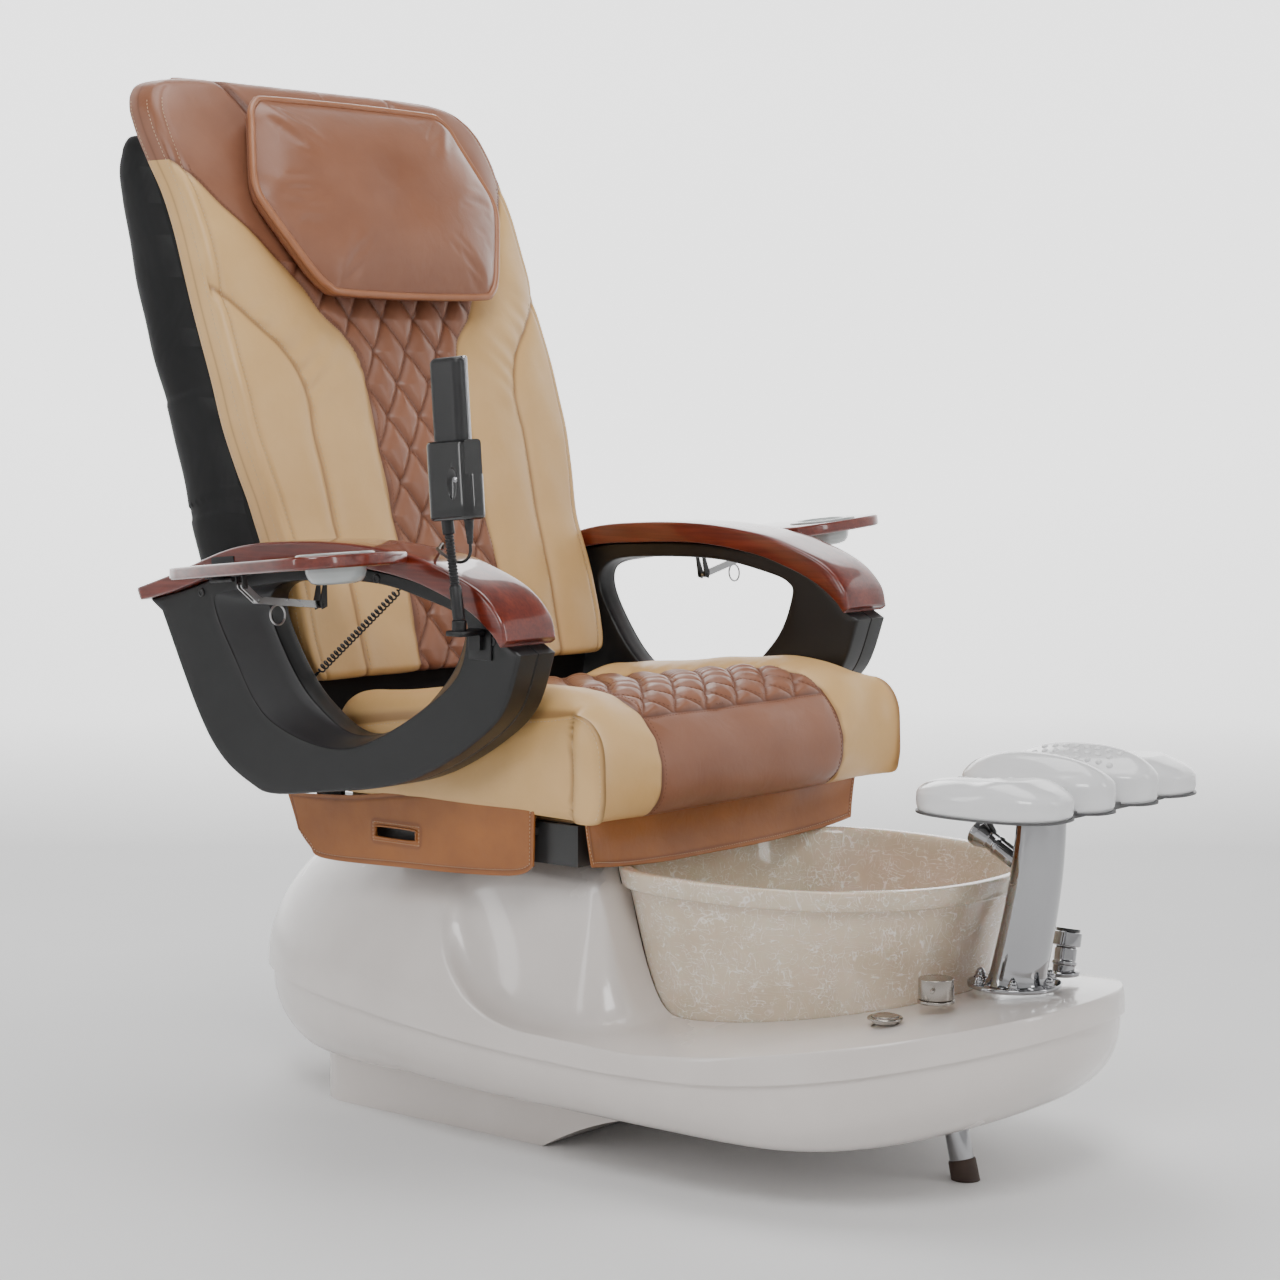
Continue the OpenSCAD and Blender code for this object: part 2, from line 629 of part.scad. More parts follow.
// ---- seat cushion ----
seat_base = pan_low + pan_t;
seat_line = [[300, seat_base], [300, 500], [298, 548], [285, 566], [230, 570], [175, 575], [120, 581],
    [65, 588], [10, 595], [-45, 600], [-95, 597], [-130, 586], [-152, 572], [-174, 545], [-185, 512],
    [-182, 478], [-166, 454], [-140, 446], [-115, seat_base]];
seat_seam = 196;
seat_front_half = seat_w / 2 + 19;
quilt_depth = 7;
seam_depth = 5;
function seat_half(y) = lookup(y, [[-150, seat_front_half], [-128, seat_front_half - 4],
    [-100, seat_w / 2], [300, seat_w / 2 - 2]]);
// height of a quilted diamond field, 0 in the stitched lines and 1 at a diamond's middle
function diamond(u, v) = let (a = abs(((u + v) % 1 + 1) % 1 - 0.5), b = abs(((u - v) % 1 + 1) % 1 - 0.5))
    1 - 2 * max(a, b);
seat_steps = [-1, -0.985, -0.95, -0.87, -0.77, -0.69, -0.655, -0.62, -0.517, -0.413, -0.31, -0.207, -0.103, 0,
    0.103, 0.207, 0.31, 0.413, 0.517, 0.62, 0.655, 0.69, 0.77, 0.87, 0.95, 0.985, 1];
// a section of the seat at the share s of its half width
function seat_ring(s) = let (
    x = abs(s),
    f = pow(max(0, 1 - pow(x, 6)), 1 / 3),
    groove = seam_depth * max(0, 1 - abs(x - 0.655) / 0.036),
    bolster = x > 0.655 ? 7 * sin(min(180, (x - 0.655) / 0.3 * 180)) : 0)
    [for (i = [0:len(seat_line) - 1]) let (
        q = seat_line[i],
        top = i >= 2 && i <= 16 ? 1 : 0,
        quilted = x < 0.64 && i >= 3 && i <= 12 ? quilt_depth * (i % 2 == round(x * 9.68) % 2 ? 0.5 : -0.5) : 0,
        rise = top * (bolster - groove + quilted),
        z = max(q[1] + (i < 13 ? rise : rise * 0.3), seat_base - 8),
        y = q[0] - (i >= 12 ? rise * 0.8 : 0),
        mid = 505)
        [s * (seat_half(y) - seam), y < 0 ? -60 + (y + 60) * (0.93 + 0.07 * f) : y,
            z > mid ? mid + (z - mid) * (0.25 + 0.75 * f) : mid - (mid - z) * (0.35 + 0.65 * f)]];
module seat_cushion() {
    color("navajowhite") loft([for (s = seat_steps) seat_ring(s)]);
}

// ---- recline actuator ----
actuator_y = -40;
actuator_z = frame_low - 21;
recline_max = 35;
lever_z = frame_low - 9;
lever_r = (pivot_h - lever_z) / cos(recline_max / 2);
lever_y = pivot_y + lever_r * sin(recline_max / 2);
actuator_angle = atan2(lever_z - actuator_z, lever_y - actuator_y);
actuator_len = norm([lever_y - actuator_y, lever_z - actuator_z]);
module actuator_axis() {
    translate([0, actuator_y, actuator_z]) rotate([actuator_angle - 90, 0, 0]) children();
}
module actuator_tube() {
    color("dimgray") difference() {
        union() {
            actuator_axis() cylinder(r = 9, h = 240);
            translate([0, actuator_y, actuator_z]) rod(9, -11.5, 11.5);
            actuator_axis() translate([26, 0, 20]) cylinder(r = 9, h = 90);
            actuator_axis() translate([0, -8, 20]) cube([26, 16, 22]);
        }
        actuator_axis() translate([0, 0, 30]) cylinder(r = 5 + fit, h = 220);
        translate([0, actuator_y, actuator_z]) rod(4 + fit, -20, 20);
    }
}
module actuator_rod() {
    color("silver") difference() {
        union() {
            actuator_axis() translate([0, 0, 110]) cylinder(r = 5, h = actuator_len - 126);
            actuator_axis() translate([-7.5, -14, actuator_len - 18]) cube([15, 28, 30]);
        }
        actuator_axis() translate([-3.5, -20, actuator_len - 12]) cube([7, 40, 60]);
        actuator_axis() for (d = [-4.6, 4.6]) translate([0, d, actuator_len]) rod(4.4, -20, 20);
        actuator_axis() translate([-20, -4.6, actuator_len - 4.4]) cube([40, 9.2, 8.8]);
    }
}

// ---- back ----
back_low = [430, 505];
back_lean = 15.74;
upright_x = 200;
upright_r = 12.5;
upright_len = 770;
module back_axis() { translate([0, back_low[0], back_low[1]]) rotate([-back_lean, 0, 0]) children(); }
lug_out = plate_in - 2;
lug_t = 6;
module back_frame() {
    color("dimgray") {
        for (s = [-1, 1]) side(s) {
            difference() {
                translate([lug_out - lug_t, 0, 0]) rotate([90, 0, 90]) linear_extrude(lug_t) union() {
                    translate([pivot_y, pivot_h]) circle(r = 18);
                    translate(back_low) circle(r = 18);
                    polygon([[pivot_y - 2, pivot_h + 18], [pivot_y + 2, pivot_h - 18],
                        [back_low[0] + 2, back_low[1] - 18], [back_low[0] - 2, back_low[1] + 18]]);
                }
                translate([0, pivot_y, pivot_h]) rod(pivot_r + fit, lug_out - lug_t - over, lug_out + over);
            }
            translate([0, back_low[0], back_low[1]]) rod(upright_r, 0, lug_out - lug_t);
            translate([upright_x, 0, 0]) back_axis() cylinder(r = upright_r, h = upright_len);
            translate([0, back_low[0], back_low[1]]) back_rung(upright_len - 20);
            translate([upright_x - 8, 0, 0]) rotate([90, 0, 90]) linear_extrude(16) for (z = tab_at)
                polygon([[cover_y(z[0]), z[0]], [upright_y(z[0]), z[0]], [upright_y(z[1]), z[1]],
                    [cover_y(z[1]), z[1]]]);
        }
        translate([-3, 0, 0]) rotate([90, 0, 90]) linear_extrude(6)
            polygon([[lever_y - 7, lever_z - 6], [lever_y + 7, lever_z - 6], [back_low[0] + 8, back_low[1] - 4],
                [back_low[0] - 8, back_low[1] + 4], [pivot_y + 22, pivot_h - 10], [lever_y - 7, lever_z + 8]]);
        translate([0, lever_y, lever_z]) rod(4, -9, 9);
    }
}
upright_top = back_low[1] + upright_len * cos(back_lean);
tab_at = [[612, 640], [upright_top - 36, upright_top - 6]];
function upright_y(z) = back_low[0] + (z - back_low[1]) * tan(back_lean);
module back_rung(h) { rotate([-back_lean, 0, 0]) translate([0, 0, h]) rod(8, 0, upright_x - 5); }

// edge of the back cushion's front face: [height, distance behind the origin, reach past the seat's half width]
back_edge = [[592, 329, -12], [610, 334, 0], [650, 345, 3], [700, 358, 4], [750, 375, 4], [800, 393, 5],
    [845, 406, 10], [890, 420, 17], [945, 438, 20], [1000, 455, 22], [1050, 473, 23],
    [1100, 491, 24], [1150, 508, 24], [1200, 526, 24], [1250, 546, 28], [1300, 572, 34],
    [1345, 598, 33], [1380, 618, 20], [1402, 632, -2], [1416, 641, -36]];
// half width of the quilted strip down the middle
function strip_half(z) = lookup(z, [[592, 95], [1010, 97], [1045, 108], [1082, 144], [1125, 175], [1162, 205], [1420, 205]]);
function crown(z) = lookup(z, [[592, 8], [700, 11], [800, 15], [900, 20], [1000, 24]]);
quilt_top = 1190;
nest_low = 1105;       // the back is hollowed behind the pillow
nest_top = 1395;
pillow_nest = 16;
function back_half(k) = seat_w / 2 + back_edge[k][2] - seam;
// places across the front face, first share: of the plain side panel, second: of the quilted strip
back_side = [1, 0.985, 0.93, 0.8, 0.65, 0.57, 0.49, 0.3, 0.12, 0.03];
strip_parts = 8;
function back_front(k) = let (
    e = back_edge[k], z = e[0], w = back_half(k), h = strip_half(z),
    end = k == 0 || k == len(back_edge) - 1 ? 0.3 : k == len(back_edge) - 2 ? 0.75 : 1,
    xs = concat([for (f = back_side) h + (w - h) * f], [for (i = [strip_parts:-1:0]) h * (2 * i / strip_parts - 1)],
        [for (f = reversed(back_side)) -h - (w - h) * f]))
    [for (i = [0:len(xs) - 1]) let (
        x = xs[i], u = abs(x) / w,
        j = i - len(back_side),
        in_strip = j >= 0 && j <= strip_parts,
        panel = (abs(x) - h) / (w - h),
        quilt = in_strip && z < quilt_top ? quilt_depth * (j % 2 == k % 2 ? 0.5 : -0.5) : 0,
        seam_line = in_strip ? (j == 0 || j == strip_parts ? seam_depth : 0)
            : z < quilt_top ? seam_depth * max(0, 1 - abs(panel - 0.53) / 0.09) : 0,
        puff = in_strip ? 0 : 6 * sin(180 * min(1, max(0, panel))),
        nest = z > nest_low && z < nest_top ? pillow_nest * (1 - pow(min(1, abs(x) / 262), 6)) : 0)
        [x, e[1] - end * (crown(z) * pow(max(0, 1 - pow(u, 4)), 0.5) + quilt + puff - seam_line) + nest, z]];
function back_rear_y(k) = back_edge[k][1] + gusset_t;
function back_ring(k) = let (f = back_front(k), w = back_half(k), y = back_rear_y(k))
    concat([[w - 3, y, back_edge[k][0]]], [[-w + 3, y, back_edge[k][0]]], reversed(f));
module back_cushion() {
    color("navajowhite") loft([for (k = [0:len(back_edge) - 1]) back_ring(k)]);
}

// rear cover, a deep open shell: [height, distance behind the origin, reach past the seat's half width]
cover_rear = [[545, 568, -28], [592, 588, -16], [700, 606, -8], [800, 631, -4], [945, 665, 7],
    [1050, 696, 12], [1150, 725, 14], [1250, 743, 16], [1300, 741, 14], [1335, 718, 2]];
cover_wall = 6;
cover_top = 1335;
function cover_y(z) = z < back_edge[0][0] ? 382 : lookup(z, [for (e = back_edge) [e[0], e[1] + gusset_t]]);
cover_levels = concat([545], [for (e = back_edge) if (e[0] < cover_top - 20) e[0]], [cover_top]);
function cover_ring(z, wall) = let (
    y0 = cover_y(z) - (wall > 0 ? 2 * over : 0),
    y1 = lookup(z, [for (c = cover_rear) [c[0], c[1]]]) - wall,
    w = seat_w / 2 + lookup(z, [for (c = cover_rear) [c[0], c[2]]]) - wall)
    concat([[-w, y0, z], [w, y0, z]], [for (i = [0:8]) let (a = i * 22.5, c = cos(a), d = sin(a))
        [w * sign(c) * pow(abs(c), 0.36), y0 + 20 + (y1 - y0 - 20) * pow(d, 0.36), z]]);
module back_cover() {
    n = len(cover_levels) - 1;
    color("black") difference() {
        loft([for (z = cover_levels) cover_ring(z, 0)]);
        loft(concat([cover_ring(cover_levels[0] - over, cover_wall)],
            [for (i = [1:n - 1]) cover_ring(cover_levels[i], cover_wall)],
            [cover_ring(cover_top - cover_wall, cover_wall)]));
    }
}

// pillow, hung from its top edge
pillow_top = [567, 1382];
pillow_lean = 25.7;
pillow_t = 33;
roll_at = [8, 6];       // roll that the pillow turns on, along its top edge
roll_r = 5;
module pillow_axis() {
    translate([0, pillow_top[0], pillow_top[1]]) rotate([-pillow_lean, 0, 0]) children();
}
pillow_outline = ring([[184, 0], [203, -14], [238, -110], [243, -140], [236, -165], [178, -276], [150, -296],
    [0, -299], [-150, -296], [-178, -276], [-236, -165], [-243, -140], [-238, -110], [-203, -14], [-184, 0],
    [0, 3]], 3);
module pillow() {
    centre = [0, -140];
    function layer(f, d) = [for (p = reversed(pillow_outline))
        let (q = centre + f * (p - centre)) [q[0], d, q[1]]];
    color("sienna") pillow_axis() {
        loft([layer(0.9, pillow_t - 8), layer(0.99, pillow_t - 14), layer(1, pillow_t - 22), layer(0.985, 6),
            layer(0.93, 0), layer(0.75, -7), layer(0.4, -11)]);
        translate([0, roll_at[0], roll_at[1]]) rod(roll_r, -70, 70);
    }
}

// massage unit: a carriage on the uprights with kneading rollers
roller_home = 150;
roller_off = 8;
module roller_axis() { back_axis() translate([0, roller_off, roller_home + 60]) children(); }
module roller_carriage() {
    color("gray") back_axis() translate([0, 0, roller_home]) {
        for (s = [-1, 1]) translate([s * upright_x, 0, 0]) difference() {
            cylinder(r = 20, h = 120);
            translate([0, 0, -over]) cylinder(r = upright_r + 0.1, h = 130);
        }
        difference() {
            union() {
                block([-upright_x + 16, 26, 0], [upright_x - 16, 34, 120]);
                for (s = [-1, 1]) side(s) block([upright_x - 34, -12, 40], [upright_x - 12, 30, 80]);
            }
            translate([0, roller_off, 60]) rod(7 + fit, -upright_x, upright_x);
            for (s = [-1, 1]) block([s * 90 - 16, 20, 8], [s * 90 + 16, 40, 112]);
            for (s = [-1, 1]) translate([s * upright_x, 0, -over]) cylinder(r = 19, h = 130);
        }
        translate([0, 34, 60]) rotate([-90, 0, 0]) cylinder(r = 26, h = 28);
    }
}
module roller_heads() {
    color("gold") roller_axis() {
        rod(7, -upright_x + 21, upright_x - 21);
        for (s = [-1, 1]) translate([s * 90, 0, 0]) {
            rod(12, -14, 14);
            for (d = [-1, 1]) translate([0, 0, d * 26]) rod(22, -12, 12);
        }
    }
}

// ---- arms ----
arm_out = arm_in + arm_w;
frame_out = frame_in + frame_w;
frame_mid = frame_in + frame_w / 2;
// underside of the wooden arm, rear to front, which the moulded frame meets
arm_under = curve([[560, 698], [495, 713], [378, 747], [271, 757], [157, 759], [61, 747], [3, 731], [-45, 712],
    [-81, 688], [-98, 670]], 3);
arm_over = curve([[568, 715], [495, 737], [378, 775], [271, 787], [157, 788], [54, 777], [0, 763], [-62, 738],
    [-98, 706], [-107, 676]], 3);
arm_nose = [-104.5, 671.5];
arm_tail = [566.5, 705];
arm_section = concat([arm_tail], arm_over, [arm_nose], reversed(arm_under));
frame_outline = concat(arm_under, curve([[-116, 660], [-87, 589], [-29, 541], [54, 498], [133, 476], [226, 463],
    [322, 452], [364, 461], [421, 493], [469, 553], [538, 684]], 3));
// opening of the frame at its middle plane and, wider, at its outer face
opening_in = ring([[358, 690], [338, 726], [250, 736], [136, 736], [52, 722], [8, 708], [1, 686], [30, 624],
    [109, 558], [200, 537], [270, 570], [318, 618]], 3);
opening_out = ring([[430, 700], [398, 716], [260, 736], [130, 738], [40, 721], [-16, 704], [-28, 684], [-2, 619],
    [121, 544], [215, 522], [330, 553], [392, 630]], 3);
module arm_inner(s) {
    color("black") side(s) difference() {
        loft([at_x(inset(frame_outline, 4), frame_in), at_x(frame_outline, frame_in + 4),
            at_x(frame_outline, frame_mid - 1), at_x(inset(frame_outline, 1), frame_mid)]);
        loft([at_x(opening_in, frame_in - over), at_x(opening_in, frame_mid + over)]);
        translate([0, pivot_y, pivot_h]) rod(pivot_r + fit, frame_in - over, frame_in + shaft_bite + seam);
    }
}
module arm_outer(s) {
    flare = [for (i = [0:len(opening_in) - 1]) opening_out[i]
        + (opening_out[i] - opening_in[i]) * over / (frame_out - frame_mid)];
    color("black") side(s) difference() {
        loft([at_x(inset(frame_outline, 1), frame_mid), at_x(frame_outline, frame_mid + 1),
            at_x(frame_outline, frame_out - 4), at_x(inset(frame_outline, 4), frame_out)]);
        loft([at_x(opening_in, frame_mid - over), at_x(opening_in, frame_mid), at_x(flare, frame_out + over)]);
    }
}
module arm_top(s) {
    color("brown") side(s) strip_loft([at_x(inset(arm_section, 3), arm_in), at_x(arm_section, arm_in + 4),
        at_x(arm_section, arm_out - 4), at_x(inset(arm_section, 3), arm_out)]);
}
module arm_inner_left() { arm_inner(1); }
module arm_inner_right() { arm_inner(-1); }
module arm_outer_left() { arm_outer(1); }
module arm_outer_right() { arm_outer(-1); }
module arm_top_left() { arm_top(1); }
module arm_top_right() { arm_top(-1); }

// ---- trays: drawn from the hinge axis, x outwards, y along the axis, z up ----
hinge_r = 3;
leaf_t = 1.5;
hinge_x = arm_out + leaf_t + hinge_r;
hinge_y = 52;
board_low = hinge_r + 1.5;
hinge_z = tray_h - board_low - tray_t;
tray_length = 400;
module tray_frame(s) {
    side(s) translate([hinge_x, hinge_y, hinge_z]) rotate([-tray_slope, 0, 0]) children();
}
function tilt(s) = s > 0 ? left_tilt : 0;
module tilted(s) { tray_frame(s) rotate([0, -tilt(s), 0]) children(); }
board_edge = 1.8 - hinge_r;
board_plan = concat(
    curve([[board_edge, 0], [28, -16], [62, -26], [132, -31], [168, -25], [188, -4], [189, 22]], 3),
    curve([[186, 40], [160, 140], [126, 245], [98, 318]], 2),
    curve([[90, 340], [66, 364], [board_edge, tray_length - 4]], 2));
cup_u = 506 - 408.5;
cup_v = 26;
dish_u = 55;
dish_v = [190, 300];
dish_r = 34;
dish_depth = 5;
hinge_at = [95, 320];
knuckle = 14;
module tray(s) {
    top = board_low + tray_t;
    color("brown") tilted(s) {
        difference() {
            loft([at_z(inset(board_plan, 4), board_low), at_z(board_plan, board_low + 3),
                at_z(board_plan, top - 3), at_z(inset(board_plan, 4), top)]);
            translate([cup_u, cup_v, 0]) cylinder(r = cup_r + 4, h = 40);
            for (v = dish_v) translate([dish_u, v, top - dish_depth]) cylinder(r = dish_r, h = 20);
            translate([dish_u - dish_r, dish_v[0], top - dish_depth])
                cube([2 * dish_r, dish_v[1] - dish_v[0], 20]);
        }
        for (v = hinge_at) difference() {
            union() {
                translate([0, v + knuckle + seam, 0]) rotate([-90, 0, 0]) cylinder(r = hinge_r, h = knuckle);
                translate([-1, v + knuckle + seam, 0]) cube([12, knuckle, board_low]);
            }
            translate([0, v, 0]) rotate([-90, 0, 0]) cylinder(r = 1.4 + fit, h = 60);
        }
        for (d = [-1, 1]) translate([stay_top[0] - 5, stay_v + d * 6 - 1, stay_top[1] - 5])
            cube([10, 2, board_low - stay_top[1] + 5]);
        translate([stay_top[0], stay_v - 8, stay_top[1]]) rotate([-90, 0, 0]) cylinder(r = 2, h = 16);
    }
}
// fixed half of the hinge with its pin, and the bracket that the stay turns on
module tray_hinge(s) {
    color("gray") tray_frame(s) {
        for (v = hinge_at) {
            for (d = [0, 2 * (knuckle + seam)]) {
                translate([0, v + d, 0]) rotate([-90, 0, 0]) cylinder(r = hinge_r, h = knuckle);
                translate([-hinge_r - leaf_t, v + d, -2]) cube([hinge_r + leaf_t, knuckle, 4]);
            }
            translate([0, v + 1, 0]) rotate([-90, 0, 0]) cylinder(r = 1.4, h = 3 * knuckle - 2);
            translate([-hinge_r - leaf_t, v, -2]) cube([leaf_t, 3 * knuckle + 2 * seam, v < 200 ? 21 : 33]);
        }
    }
    color("silver") tray_frame(s) {
        bracket_face = frame_out - hinge_x;
        translate([bracket_face, stay_v - 16, -8]) cube([2, 32, 14]);
        for (d = [-1, 1]) translate([0, stay_v + d * 6 + 1, 0]) rotate([90, 0, 0]) linear_extrude(2)
            polygon([[bracket_face, 4], [bracket_face, -8], [stay_foot[0] - 6, stay_foot[1] - 3],
                [stay_foot[0] + 3, stay_foot[1] - 6], [stay_foot[0] + 6, stay_foot[1] + 3]]);
        translate([stay_foot[0], stay_v - 8, stay_foot[1]]) rotate([-90, 0, 0]) cylinder(r = 2.5, h = 16);
    }
}
// two-bar folding stay, [x, z] from the tray hinge's axis
stay_v = 172;
stay_foot = [-12, -40];
stay_top = [120, -9];
stay_long = 109.5;
stay_short = 30;
function turned(p, a) = [p[0] * cos(a) - p[1] * sin(a), p[0] * sin(a) + p[1] * cos(a)];
function stay_end(s) = turned(stay_top, tilt(s));
function long_angle(s) = let (d = stay_end(s) - stay_foot, l = norm(d))
    atan2(d[1], d[0]) - acos((stay_long * stay_long + l * l - stay_short * stay_short) / (2 * stay_long * l));
function stay_knee(s) = stay_foot + stay_long * [cos(long_angle(s)), sin(long_angle(s))];
module bar(a, b, w, t, hole) {
    l = norm(b - a);
    translate([a[0], stay_v, a[1]]) rotate([0, -atan2(b[1] - a[1], b[0] - a[0]), 0]) difference() {
        union() {
            translate([0, -t / 2, -w / 2]) cube([l, t, w]);
            for (x = [0, l]) translate([x, t / 2, 0]) rotate([90, 0, 0]) cylinder(r = w / 2, h = t);
        }
        for (h = hole) translate([h[0] * l, 20, 0]) rotate([90, 0, 0]) cylinder(r = h[1], h = 40);
    }
}
ring_r = 12.5;
wire_r = 1.2;
module stay_lower(s) {
    knee = stay_knee(s);
    grip = stay_foot + 0.69 * (knee - stay_foot);
    color("silver") tray_frame(s) {
        bar(stay_foot, knee, 9, 4, [[0, 2.5 + fit], [1, 3.2]]);
        translate([grip[0], stay_v, grip[1] - 4.5 - ring_r]) rotate([90, 0, 0]) rotate_extrude()
            translate([ring_r, 0]) circle(r = wire_r, $fn = 16);
    }
}
module stay_upper(s) {
    color("silver") tray_frame(s) for (d = [-1, 1]) translate([0, d * 3.4, 0])
        bar(stay_end(s), stay_knee(s), 9, 2, [[0, 2 + fit], [1, 2]]);
}
module cup_holder(s) {
    top = board_low + tray_t;
    color("gainsboro") tilted(s) translate([cup_u, cup_v, 0]) difference() {
        union() {
            translate([0, 0, top]) cylinder(r = cup_ring_r, h = 3);
            translate([0, 0, board_low - cup_drop]) cylinder(r = cup_r, h = cup_drop + tray_t);
        }
        translate([0, 0, board_low - cup_drop + 2.5]) cylinder(r = cup_r - 2.5, h = cup_drop + tray_t + 10);
    }
}
module tray_hinge_left() { tray_hinge(1); }
module tray_hinge_right() { tray_hinge(-1); }
module tray_left() { tray(1); }
module tray_right() { tray(-1); }
module cup_holder_left() { cup_holder(1); }
module cup_holder_right() { cup_holder(-1); }
module stay_lower_left() { stay_lower(1); }
module stay_lower_right() { stay_lower(-1); }
module stay_upper_left() { stay_upper(1); }
module stay_upper_right() { stay_upper(-1); }

// ---- remote on the right arm ----
neck_x = -arm_out - 21;
neck_low = [-51, 703];
neck_high = [-32, 824];
function neck_y(z) = neck_low[0] + (neck_high[0] - neck_low[0]) * (z - neck_low[1]) / (neck_high[1] - neck_low[1]);
module remote_clamp() {
    color("black") {
        block([-frame_out - 3, -72, 652], [-frame_out, -34, 690]);
        block([neck_x - 10, neck_low[0] - 12, 683], [-frame_out - 3, neck_low[0] + 12, 690]);
        translate([neck_x, neck_low[0], 690]) cylinder(r = 9, h = neck_low[1] - 690);
    }
}
rib_pitch = 4;
module gooseneck() {
    ribs = floor((805 - 745) / rib_pitch);
    levels = concat([[703, 7], [744, 7], [745, 5]],
        [for (i = [0:ribs - 1]) each [[745.5 + rib_pitch * (i + 0.25), neck_r], [745.5 + rib_pitch * (i + 0.75), neck_r - 1.2]]],
        [[806, 5], [807, 7.5], [824, 7.5]]);
    color("black") loft([for (l = levels) [for (j = [0:7]) let (y = neck_y(l[0]) + l[1] * sin(45 * j))
        [neck_x + l[1] * cos(45 * j), y, min(l[0], holder_low - (y - holder_y) * tan(holder_lean))]]]);
}
holder_low = 824;
holder_lean = 4;
holder_y = -50;
module holder_axis() { translate([neck_x, holder_y, holder_low]) rotate([-holder_lean, 0, 0]) children(); }
module holder_shape(w, d, r) {
    union() {
        square([w - 2 * r, d], center = true);
        square([w, d - 2 * r], center = true);
        for (x = [-1, 1]) for (y = [-1, 1]) translate([x * (w / 2 - r), y * (d / 2 - r)]) circle(r = r);
    }
}
module remote_holder() {
    color("black") {
        holder_axis() difference() {
            linear_extrude(97) holder_shape(34, 74, 10);
            translate([0, 0, 4]) linear_extrude(100) holder_shape(28, 64, 8);
            translate([0, -18, -over]) cylinder(r = 7, h = 10);
        }
    }
}
module remote_handset() {
    color("dimgray") {
        holder_axis() translate([0, 3, 4 + seam]) linear_extrude(193) holder_shape(22, 52, 10);
    }
    color("black") holder_axis() translate([0, -18, -28]) cylinder(r1 = 3.5, r2 = 5.5, h = 33);
}
// routes of the lead: [distance outwards from the wooden arm's inner face, y, z]
function beside_arm(p) = [for (q = p) [-arm_in - q[0], q[1], q[2]]];
lead_route = beside_arm([[116, -70, 797], [116, -70, 785], [112, -58, 775], [105, -34, 773], [95, -4, 781],
    [79, 20, 786], [57, 40, 783], [33, 60, 784], [13, 76, 786.5], [2, 84, 785.5], [-3.5, 90, 777], [-4, 94, 764],
    [-3, 103, 752], [-0.5, 118, 745], [0.8, 132, 743.5], [1, 144, 738.3], [1, 152, 732.15], [1, 160, 726]]);
tail_route = beside_arm([[1, 316, 606], [1, 322, 601.4], [1, 328, 596.8], [1.2, 338, 593.5], [1.6, 350, 595],
    [2.7, 361, 599.5], [3.8, 368, 602.3], [5.3, 372.8, 603.4], [7.4, 374, 603.5], [8.7, 374, 603.5],
    [10, 374, 603.5]]);
module remote_lead() {
    color("black") for (r = [lead_route, tail_route]) loft(tube_rings(curve(r, 2), lead_d / 2, 8));
}
curl_from = lead_route[len(lead_route) - 1];
curl_to = tail_route[0];
curl_steps = 8;
// turns of the curly cord round the line between the lead's two ends
function curl_point(i) = let (
    n = curls * curl_steps, t = i / n, a = i * 360 / curl_steps,
    axis = curl_to - curl_from, d = unit(axis), u = unit(cross(d, [1, 0, 0])), v = cross(d, u),
    grow = min(1, i / curl_steps, (n - i) / curl_steps))
    curl_from + d * curl_d + (axis - 2 * d * curl_d) * t + curl_r * grow * (u * cos(a) + v * sin(a));
curl_points = [for (i = [0:curls * curl_steps]) curl_point(i)];
curl_line = concat([curl_from], curl_points, [curl_to]);
module remote_curl() {
    color("black") loft(tube_rings(curl_line, curl_d / 2, 6));
}
// measured between points that are more than half a turn apart along the cord
curl_gap = min([for (i = [0:len(curl_points) - 1]) for (j = [i + curl_steps / 2 + 1:min(i + 2 * curl_steps,
    len(curl_points) - 1)]) norm(curl_points[i] - curl_points[j])]) - curl_d;
echo("least gap between the curly cord's turns", curl_gap);

base_hull();
base_shell();
basin();
basin_drain();
jet_cover();
jet_impeller();
jet_motor();
footrest_column();
footrest_plate();
footrest_pads();
foot_tube();
foot_tip();
faucet_body();
faucet_handle();
mixer_base();
mixer_knob();
button_collar();
jet_button();
spray_head();
slide_channels();
water_pipes();
slide_runners();
carriage_frame();
pivot_shaft();
seat_box();
seat_apron();
skirt_left();
skirt_right();
seat_pan();
seat_cushion();
actuator_tube();
actuator_rod();
back_frame();
back_cover();
back_cushion();
pillow();
roller_carriage();
roller_heads();
arm_inner_left();
arm_inner_right();
arm_outer_left();
arm_outer_right();
arm_top_left();
arm_top_right();
tray_hinge_left();
tray_hinge_right();
tray_left();
tray_right();
cup_holder_left();
cup_holder_right();
stay_lower_left();
stay_lower_right();
stay_upper_left();
stay_upper_right();
remote_clamp();
gooseneck();
remote_holder();
remote_handset();
remote_lead();
remote_curl();
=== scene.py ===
# %% [markdown]
# # A pedicure spa chair
# A moulded base with a foot basin carries a leather massage seat between two wooden armrests.
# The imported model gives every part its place; this lesson gives each part its final shape and finish.

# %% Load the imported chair
import math

import bmesh
import bpy
import numpy as np
from mathutils import Matrix, Vector
from mathutils.bvhtree import BVHTree


